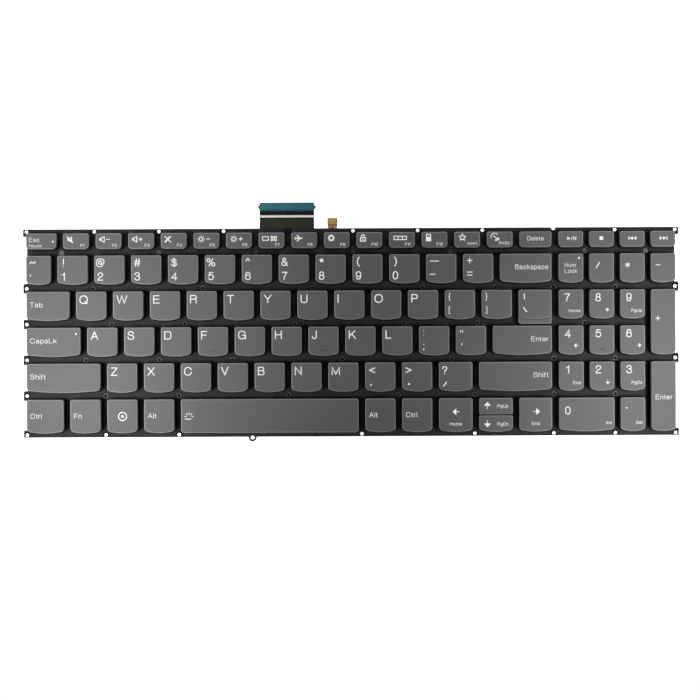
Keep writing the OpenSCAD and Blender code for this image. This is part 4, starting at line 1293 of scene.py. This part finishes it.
@dataclass
class IconPen:
    """Draws one key's icons. Its points are (right, down) from the key's upper left corner."""

    site: KeySite
    low: float
    high: float
    ink: int = 1
    thin: float = 0.42
    thick: float = 0.45
    step_up: float = 0.003
    made: list[Patch] = field(default_factory=list)

    def draw(self, shapes: str) -> None:
        """Draw the shapes that a line of the table names."""
        for shape in shapes.split("|"):
            tool, *values = shape.split()
            getattr(self, tool)(*[tuple(map(float, value.split(","))) if "," in value
                                  else float(value) for value in values])

    def at(self, points: Sequence[Spot] | np.ndarray) -> tuple[np.ndarray, float, float]:
        """Points on the board, with the heights of the next shape, a little above the last's."""
        spots = np.array(points, float) * (1, -1) + (self.site.left, self.site.top)
        return spots, self.low, self.high + self.step_up * len(self.made)

    def fill(self, points: Sequence[Spot] | np.ndarray) -> None:
        """A filled convex shape."""
        spots, low, high = self.at(points)
        self.made.append(prism(spots, low, high, self.ink))

    def stroke(self, points: Sequence[Spot] | np.ndarray, width: float,
               closed: bool = False) -> None:
        """A line along points."""
        spots, low, high = self.at(points)
        self.made.append(ribbon(spots, width, low, high, closed, self.ink))

    def line(self, width: float, *points: Spot) -> None:
        """An open line through points."""
        self.stroke(points, width)

    def cross(self, width: float, first: Spot, last: Spot) -> None:
        """The two diagonals of a rectangle, the falling one first."""
        self.line(width, first, last)
        self.line(width, (last[0], first[1]), (first[0], last[1]))

    def bars(self, start: float, stop: float, *places: float) -> None:
        """Upright bars, drawn upwards if stop lies above start."""
        for x in places:
            self.line(self.thick, (x, start), (x, stop))

    def turned(self, middle: Spot, radius: float, start: float = 0.0, stop: float = 360.0,
               steps: int = 20) -> np.ndarray:
        """Points on a circle, counted in degrees from the right and downwards."""
        angle = np.radians(np.linspace(start, stop, steps, endpoint=stop - start < 360))
        return on_circle(angle, radius) + middle

    def arc(self, middle: Spot, radius: float, width: float, start: float, stop: float,
            steps: float) -> None:
        """Part of a circle between two angles."""
        self.stroke(self.turned(middle, radius, start, stop, int(steps)), width)

    def disc(self, middle: Spot, radius: float) -> None:
        """A filled circle."""
        self.fill(self.turned(middle, radius))

    def circle(self, middle: Spot, radius: float, width: float) -> None:
        """An open circle."""
        self.stroke(self.turned(middle, radius), width, closed=True)

    def corners(self, corner: Spot, size: Spot) -> list[Spot]:
        """The corners of a rectangle."""
        (left, top), (right, foot) = corner, (corner[0] + size[0], corner[1] + size[1])
        return [(left, top), (right, top), (right, foot), (left, foot)]

    def box(self, corner: Spot, size: Spot, width: float) -> None:
        """An open rectangle, its line's middle on its edge."""
        self.stroke(self.corners(corner, size), width, closed=True)

    def block(self, corner: Spot, size: Spot) -> None:
        """A filled rectangle."""
        self.fill(self.corners(corner, size))

    def dash(self, middle: Spot, length: float) -> None:
        """A level line about its middle."""
        self.line(self.thin, (middle[0] - length / 2, middle[1]),
                  (middle[0] + length / 2, middle[1]))

    def plus(self, middle: Spot, length: float) -> None:
        """Two crossed lines."""
        self.dash(middle, length)
        self.line(self.thin, (middle[0], middle[1] - length / 2),
                  (middle[0], middle[1] + length / 2))

    def star(self, middle: Spot, reach: float, width: float) -> None:
        """Three lines through one middle, one of them upright."""
        for number in range(3):
            angle = math.pi * (number / 3 + 0.5)
            x, y = reach * math.cos(angle), reach * math.sin(angle)
            self.line(width, (middle[0] - x, middle[1] - y), (middle[0] + x, middle[1] + y))

    def spikes(self, middle: Spot, far: float, near: float, width: float) -> None:
        """The outline of a star with five points, one of them up."""
        angle = np.radians(np.arange(10) * 36 - 90)
        reach = np.where(np.arange(10) % 2 == 0, far, near)
        self.stroke(on_circle(angle, reach) + middle, width, closed=True)

    def wedge(self, tip: Spot, way: Spot, length: float, width: float) -> None:
        """A triangle with its tip at one place, pointing along way."""
        x, y = tip[0] - way[0] * length, tip[1] - way[1] * length
        self.fill([tip, (x - way[1] * width / 2, y + way[0] * width / 2),
                   (x + way[1] * width / 2, y - way[0] * width / 2)])

    def arrow(self, middle: Spot, way: Spot, size: float) -> None:
        """A wedge with a shaft, as long as size."""
        tip = (middle[0] + way[0] * size / 2, middle[1] + way[1] * size / 2)
        tail = (middle[0] - way[0] * size / 2, middle[1] - way[1] * size / 2)
        self.wedge(tip, way, size * 0.55, size)
        self.line(size * 0.1, tail, middle)

    def speaker(self, corner: Spot, size: float) -> None:
        """A speaker: a small box with an open horn to its right, about the corner's level."""
        (left, down), small = corner, size * 0.2
        near, far, rise = left + size * 0.28, left + size * 0.78, size / 2 - 0.2
        self.block((left, down - small), (size * 0.22, small * 2))
        self.stroke([(near, down - small), (far, down - rise), (far, down + rise),
                     (near, down + small)], self.thick, closed=True)

    def spokes(self, middle: Spot, near: float, far: float, width: float,
               ways: list[Spot]) -> None:
        """Short lines that point away from a middle."""
        for x, y in ways:
            self.line(width, (middle[0] + near * x, middle[1] + near * y),
                      (middle[0] + far * x, middle[1] + far * y))

    def rays(self, middle: Spot, near: float, far: float, width: float) -> None:
        """Eight short lines all round a middle."""
        turns = [number * math.pi / 4 for number in range(8)]
        self.spokes(middle, near, far, width, [(math.cos(a), math.sin(a)) for a in turns])

    def fan(self, middle: Spot, near: float, far: float, width: float) -> None:
        """Five short lines that open upwards, 0.7 radians apart."""
        turns = [number * 0.7 for number in range(-2, 3)]
        self.spokes(middle, near, far, width, [(math.sin(a), -math.cos(a)) for a in turns])


@dataclass
class Legends:
    """What is printed on each key, at the height of the caps' tops."""

    top: float
    sunk: float = 0.06
    proud: float = 0.012

    def __post_init__(self) -> None:
        """Set up the printer, and read every key's words and icons."""
        self.printer = Printer(self.top - self.sunk, self.top + self.proud)
        self.icons = by_first_word(ICONS)
        self.words: dict[str, list[Word]] = {}
        for row in WORDS.strip().splitlines():
            cap, across, down, side, *pairs = row.split()
            for name, text in (pair.split(":", 1) for pair in pairs):
                self.words.setdefault(name, []).append(
                    Word(text, float(cap), float(across), float(down), Side[side]))

    def build(self, site: KeySite) -> list[Patch]:
        """All that is printed on one key."""
        pen = IconPen(site, self.printer.low, self.printer.high)
        if site.name in self.icons:
            pen.draw(self.icons[site.name])
        return [self.printer.place(word, site)
                for word in self.words.get(site.name, [])] + pen.made


@dataclass
class Keycaps:
    """Dresses every key with its moulded cap and its printed legend."""

    keys: KeyField
    dresser: Dresser
    maker: KeycapMaker = field(default_factory=KeycapMaker)
    finishes: tuple[Finish, ...] = (KEYCAP_PAINT, LEGEND_INK_AND_PAINTED_LIGHT, KEYCAP_RIM_HIGHLIGHT, KEYCAP_PAINTED_SHADE)

    def __post_init__(self) -> None:
        """Set the legends up at the caps' height."""
        self.legends = Legends(self.maker.top)

    def cap(self, site: KeySite) -> list[Patch]:
        """One keycap and its legend."""
        return self.maker.build(site) + self.legends.build(site)

    def build(self) -> None:
        """One piece for each key that moves, and one for each node of fixed keys."""
        for site in self.keys.moving():
            self.dresser.piece("cap_" + site.name, self.cap(site), self.finishes, site.body,
                               "keycap_plastic", (site.node,))
        for node in ("function_row_keycaps", "numpad_keycaps", "other_keycaps"):
            patches = [patch for site in self.keys.of_node(node) for patch in self.cap(site)]
            self.dresser.piece("caps_" + node.removesuffix("_keycaps"), patches, self.finishes,
                               "chassis", "keycap_plastic", (node,))


@dataclass
class Underparts:
    """Small parts that stand under the keys. Those under a key that moves make a piece of their own
    for each key, and the rest are one piece.

    kind starts the name of a moving key's piece, and rest is the name of the last one. level is
    the height that would stay where it is, and share what would be left of the height above it
    with a key fully down; neither is used.
    """

    keys: KeyField
    dresser: Dresser
    kind: str
    rest: str
    slot: str
    nodes: tuple[str, ...]
    finish: Finish
    level: float
    share: float

    def dressed(self, solid: Patch) -> Patch:
        """A solid of the nodes as it is shown."""
        return solid

    def piece(self, name: str, solids: list[Patch]) -> bpy.types.Object:
        """One piece of the solids, on the chassis."""
        return self.dresser.piece(name, [self.dressed(solid) for solid in solids], [self.finish],
                                  "chassis", self.slot, self.nodes)

    def build(self) -> None:
        """Share the nodes' solids out to the keys above them."""
        solids = [solid for node in self.nodes for solid in solids_of(node)]
        for site in self.keys.moving():
            mine = [solid for solid in solids if site.holds(solid)]
            if mine:
                solids = [solid for solid in solids if not site.holds(solid)]
                fold(self.piece(self.kind + site.name, mine), site)
        self.piece(self.rest, solids)


@dataclass
class Links(Underparts):
    """The scissor frames, whose lower bearings lie at the height level."""

    kind: str = "links_"
    rest: str = "links_of_fixed_keys"
    slot: str = "link_plastic"
    nodes: tuple[str, ...] = ("scissor_outer_frames", "scissor_inner_frames")
    finish: Finish = ACETAL
    level: float = 1.7
    share: float = 0.375


@dataclass
class Domes(Underparts):
    """The rubber domes, turned bells that stand on the upper sheet.

    foot is the height of the upright part, tip_share the tip's radius as a share of the foot's,
    tip_round the tip's chamfer, and wall_share the most that the wall takes of the foot's radius.
    """

    kind: str = "dome_"
    rest: str = "domes_of_fixed_keys"
    slot: str = "silicone"
    nodes: tuple[str, ...] = ("rubber_domes",)
    finish: Finish = SILICONE
    level: float = 1.2
    share: float = 0.552
    wall: float = 0.45
    foot: float = 0.3
    tip_share: float = 0.55
    tip_round: float = 0.15
    wall_share: float = 0.3
    rises: int = 6
    turns: int = 20

    def dressed(self, solid: Patch) -> Patch:
        """A closed bell in place of a plain solid.

        A profile of (radius, height) is turned about Z. Its outer wall falls from the tip's
        radius to the foot's by a quarter of a cosine, and the inner wall follows it.

        Args:
            solid: The plain solid, whose box gives the middle, the foot's radius and the height.

        Returns:
            The bell.
        """
        low, high = solid.span()
        radius, height = (high - low)[0] / 2, (high - low)[2]
        tip = radius * self.tip_share
        fall = np.linspace(1, 0, self.rises)
        outer = tip + (radius - tip) * (1 - np.cos(fall * math.pi / 2))
        rise = self.foot + (height - self.foot - self.tip_round) * (1 - fall)
        wall = min(self.wall, radius * self.wall_share)
        profile = [(outer[-1] - wall, height - wall)]
        profile += [(r - wall, z) for r, z in zip(outer[-2::-1], rise[-2::-1])]
        profile += [(radius - wall, 0.0), (radius, 0.0)]
        profile += list(zip(outer, rise)) + [(tip - self.tip_round, height)]
        angle = -np.linspace(0, 2 * math.pi, self.turns, endpoint=False)
        rings = [raised(on_circle(angle, r), z) for r, z in profile]
        skin = lofted(rings, np.array([0, 0, height - wall]), np.array([0, 0, height]))
        return skin.moved(*(low + high)[:2] / 2, low[2])


def fold(piece: bpy.types.Object, site: KeySite) -> None:
    """Give a piece under a key a mesh of its own.

    Args:
        piece: The piece.
        site: The key.
    """
    site.body + "_travel"
    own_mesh(piece)


@dataclass
class Chassis:
    """The flat parts that stay as the frame has them: plate, sheets, films, strip, studs, chips,
    wires and the space bar's own frames, with the painted shade and the rings that lie on them.

    The ribbon's white line runs from line_from to line_to past the board's edge. Painted shade, a
    black band on the upper sheet for the shade under the keycap's edge, reaches a halo beyond each
    key. The rings lie from their _in to their _out radius: bare metal and a ring of painted shade
    round an inner hole, and painted shade at the sheets' step round an edge hole. The painted shade
    round a stud starts at stud_edge. hole_in and ear_in are how far holes and ear holes lie in from
    the plate's edges. Each hole is named by the key at its left, and an inner hole or a stud by the
    one that also lies above it.
    """

    keys: KeyField
    dresser: Dresser
    deck: float = 1.2
    plate_top: float = 0.9
    strip_head: float = 3.7
    strip_middle: float = -9.45
    half_neck: float = 1.6
    half_head: float = 2.55
    under: float = 0.5
    narrower: float = 0.35
    over: float = 0.1
    half_ribbon: float = 14.15
    line_from: float = 5.75
    line_to: float = 6.95
    halo: float = 0.6
    margin: float = 0.3
    print_half: float = 0.01
    sunk: float = 0.1
    proud: float = 0.02
    turns: int = 24
    bare_in: float = 0.95
    bare_out: float = 1.3
    shade_in: float = 1.325
    shade_out: float = 1.825
    hole_in: float = 1.3
    ear_in: float = 1.7
    ear_half: float = 2.5
    dark_in: float = 0.93
    dark_out: float = 1.9
    stud_edge: float = 1.3
    top_holes: str = "f1 f3 f5 f7 f9 f11 insert stop"
    bottom_holes: str = "fn left_alt space left right pad_0"
    studs: str = "esc f3 f6 f9 f12 play previous"
    holes: str = ("1 4 7 0 equals backspace divide q e y o left_bracket pad_7 caps_lock s f j"
                  " semicolon enter pad_5 left_shift x b comma slash right_shift pad_2")
    finishes: dict[str, Finish] = field(default_factory=lambda: {
        "support_plate": POWDER_COAT, "membrane_upper": DECK_FILM, "membrane_spacer": CLEAR_FILM,
        "plate_studs": STUD_STEEL, "reflector_film": WHITE_FILM, "mask_film": MASK_INK,
        "leds": CHIP_RESIN, "stabilizer_wires": WIRE_STEEL, "space_stabilizer": WIRE_STEEL,
        "enter_stabilizer": WIRE_STEEL, "space_outer_frames": ACETAL,
        "space_inner_frames": ACETAL, "light_guide": LightGuide("light_guide")})

    def build(self) -> None:
        """Finish every node that keeps its shape, the two tails by bands along Y."""
        edge = box_of("support_plate")[1][1]
        stiffener, strip = box_of("ribbon_stiffener"), box_of("backlight_strip")
        middle = (stiffener[0][0] + stiffener[1][0]) / 2
        head = strip[1][1] - self.strip_head
        self.finishes["membrane_lower"] = SheetAndTail(
            "sheet_and_tail", edge, middle, self.half_ribbon, edge + self.line_from,
            edge + self.line_to)
        self.finishes["ribbon_stiffener"] = StiffenerFilm(
            "stiffener_film", stiffener[0][0], stiffener[1][0], stiffener[0][1])
        self.finishes["backlight_strip"] = LightStrip(
            "light_strip", head, self.strip_middle, self.half_head)
        for node, finish in self.finishes.items():
            self.dresser.finish_node(node, finish)
        self.shoulders(edge, head, strip[0][2], strip[1][2])
        self.prints()

    def shoulders(self, edge: float, head: float, low: float, high: float) -> None:
        """The cream films beside the light strip's neck, wider at its head than at the board.

        Args:
            edge: Where the board ends.
            head: Where the contact head starts.
            low: Height of the strip's lower face.
            high: Height of its upper face.
        """
        foot, upper = edge - self.under, head + self.over
        corners = np.array([(self.half_neck, foot), (self.half_head - self.narrower, foot),
                            (self.half_head, upper), (self.half_neck - self.under, upper)])
        patches = [prism(corners * (side, 1) + (self.strip_middle, 0), low, high, 0)
                   for side in (-1, 1)]
        self.dresser.piece("strip_shoulders", patches, [CREAM_FILM], "chassis", "gold_flex")

    def ring(self, middle: Spot, inner: float, outer: float, proud: float, ink: int = 0) -> Patch:
        """A flat ring on the plate.

        Args:
            middle: Its middle.
            inner: Its inner radius.
            outer: Its outer radius.
            proud: How far it stands above the plate.
            ink: The number of its finish.

        Returns:
            The ring.
        """
        angle = np.linspace(0, 2 * math.pi, self.turns, endpoint=False)
        return ribbon(on_circle(angle, (inner + outer) / 2) + middle, outer - inner,
                      self.plate_top - self.sunk, self.plate_top + proud, True, ink)

    def prints(self) -> None:
        """Painted shade round each key on the upper sheet, a black band for the shade under the keycap's
        edge; the bare edges of the plate's inner fixing holes, each with a ring of painted shade; and
        painted shade at the sheets' steps round the other holes and the studs."""
        plate = box_of("support_plate")
        frames = []
        # Painted shade: a black band round each key's outline on the upper sheet, for the shade under the
        # keycap's edge.
        for site in self.keys.sites:
            shade_edge = CapOutline(site.width, site.depth, site.form).ring(-self.halo)
            shade_edge = np.clip(shade_edge + (site.x, site.y), plate[0][:2] + self.margin,
                                 plate[1][:2] - self.margin)
            frames.append(prism(shade_edge, self.deck - self.print_half,
                                self.deck + self.print_half, 0))
        rims = []
        # Each inner hole: a ring of bare steel at its edge, then a ring of painted shade for the shade of
        # the upper sheet's step.
        for middle in map(self.keys.crossing, self.holes.split()):
            rims += [self.ring(middle, self.bare_in, self.bare_out, self.proud),
                     self.ring(middle, self.shade_in, self.shade_out, self.proud / 2, 1)]
        self.dresser.piece("deck_prints", frames, [SHADE_BLACK], "chassis", "black_film")
        self.dresser.piece("hole_rims", rims, [BARE_STEEL, SHADE_BLACK], "chassis", "black_steel")
        self.dresser.piece("hole_shades", self.shades(*plate[1][:2]), [SHADE_BLACK], "chassis",
                           "black_steel")

    def shades(self, side: float, half: float) -> list[Patch]:
        """Painted shade: dark rings round the holes at the plate's edges and round the studs, for the
        shade at the sheets' steps, each cut off where the plate or its ear ends.

        Args:
            side: The plate's edge along X.
            half: Its edge along Y.

        Returns:
            The rings.
        """
        across, along = side - self.ear_in, half - self.hole_in
        rows = [self.keys.crossing(name)[1] for name in ("1", "q", "caps_lock", "left_shift")]
        spots = [(self.keys.after(name), along) for name in self.top_holes.split()]
        spots += [(self.keys.after(name), -along) for name in self.bottom_holes.split()]
        ears = [(-across, y) for y in (along, -along, *rows)]
        ears += [(across, y) for y in (along, -along, rows[0], rows[2])]
        rings = []
        for x, y in spots + ears:
            ring = self.ring((x, y), self.dark_in, self.dark_out, self.proud)
            reach = self.ear_half if (x, y) in ears else self.dark_out
            low = (-side + self.proud, max(y - reach, -half) + self.proud, 0)
            high = (side - self.proud, min(y + reach, half) - self.proud, self.deck)
            rings.append(Patch(np.clip(ring.points, low, high), ring.faces))
        return rings + [self.ring(middle, self.stud_edge, self.dark_out, self.proud)
                        for middle in map(self.keys.crossing, self.studs.split())]


@dataclass
class Studio:
    """A white table, soft lights at both sides and a camera straight above the keys."""

    distance: float = 545.0
    view_width: float = 360.6
    sensor: float = 36.0
    key_top: float = 5.5
    aim: Spot = (-0.54, 0.0)
    shift: float = -0.0253
    turn: float = -0.25
    table: float = 6000.0
    gap: float = 0.2
    white: float = 0.9
    pale: float = 0.9
    dim: float = 0.05

    def camera(self) -> None:
        """A camera that looks straight down, as wide as the photograph at the keys' tops."""
        data = bpy.data.cameras.new("camera")
        data.sensor_width = self.sensor
        data.lens = self.sensor * self.distance / self.view_width
        data.shift_y = self.shift
        data.clip_start, data.clip_end = 0.01, 50.0
        made = shown("camera", data)
        made.location = Vector((*self.aim, self.key_top + self.distance)) * MM
        made.rotation_euler.z = math.radians(self.turn)
        bpy.context.scene.camera = made

    def floor(self) -> None:
        """The table top, just under the keyboard."""
        mesh = bpy.data.meshes.new("table")
        half = self.table / 2 * MM
        mesh.from_pydata([(-half, -half, 0), (half, -half, 0), (half, half, 0), (-half, half, 0)],
                         [], [(0, 1, 2, 3)])
        mesh.transform(Matrix.Translation((0, 0, -self.gap * MM)))
        graph = Graph("table_paint")
        mesh.materials.append(graph.shade((self.white,) * 3, 0.8, Emission_Strength=self.white,
                                          Emission_Color=(1.0, 1.0, 1.0, 1.0)))
        made = shown("table", mesh)

    def light(self, name: str, place: Place, aim: Place, size: Spot, power: float,
              spread: float) -> None:
        """A soft rectangular light.

        Args:
            name: Its name.
            place: Where it hangs.
            aim: Where it points.
            size: Its two sides.
            power: Its power in watts.
            spread: The angle of its beam in degrees.
        """
        data = bpy.data.lights.new(name, "AREA")
        data.shape = "RECTANGLE"
        data.size, data.size_y = size[0] * MM, size[1] * MM
        data.energy = power
        data.spread = math.radians(spread)
        made = shown(name, data)
        made.location = Vector(place) * MM
        made.rotation_mode = "QUATERNION"
        made.rotation_quaternion = (Vector(aim) - Vector(place)).to_track_quat("-Z", "Y")

    def build(self) -> None:
        """Set the whole studio."""
        self.camera()
        self.floor()
        self.light("left_light", (-270, -65, 240), (-116, -20, 0), (180, 70), 0.118, 50)
        self.light("right_light", (270, -65, 240), (140, -20, 0), (180, 70), 0.099, 50)
        self.light("back_light", (0, 230, 150), (0, 30, 0), (500, 60), 0.34, 180)
        self.light("front_light", (0, -520, 110), (0, 0, 0), (900, 90), 0.06, 180)
        self.surroundings()
        bpy.context.scene.view_settings.view_transform = "Standard"

    def surroundings(self) -> None:
        """A world that is nearly white for the camera and dim for everything that it lights."""
        world = bpy.data.worlds.new("studio")
        world.use_nodes = True
        nodes, links = world.node_tree.nodes, world.node_tree.links
        background = nodes["Background"]
        background.inputs["Color"].default_value = (1.0, 1.0, 1.0, 1.0)
        path, level = nodes.new("ShaderNodeLightPath"), nodes.new("ShaderNodeMath")
        level.operation = "MULTIPLY_ADD"
        level.inputs[1].default_value = self.pale
        level.inputs[2].default_value = self.dim
        links.new(path.outputs["Is Camera Ray"], level.inputs[0])
        links.new(level.outputs[0], background.inputs["Strength"])
        bpy.context.scene.world = world


def main() -> None:
    """Build and dress each sub-assembly in order."""
    logging.basicConfig(level=logging.INFO, format="%(name)s: %(message)s")
    dresser = Dresser()
    keys = KeyField()
    Keycaps(keys, dresser).build()
    Links(keys, dresser).build()
    Domes(keys, dresser).build()
    Chassis(keys, dresser).build()
    Studio().build()


if __name__ == "__main__":
    main()
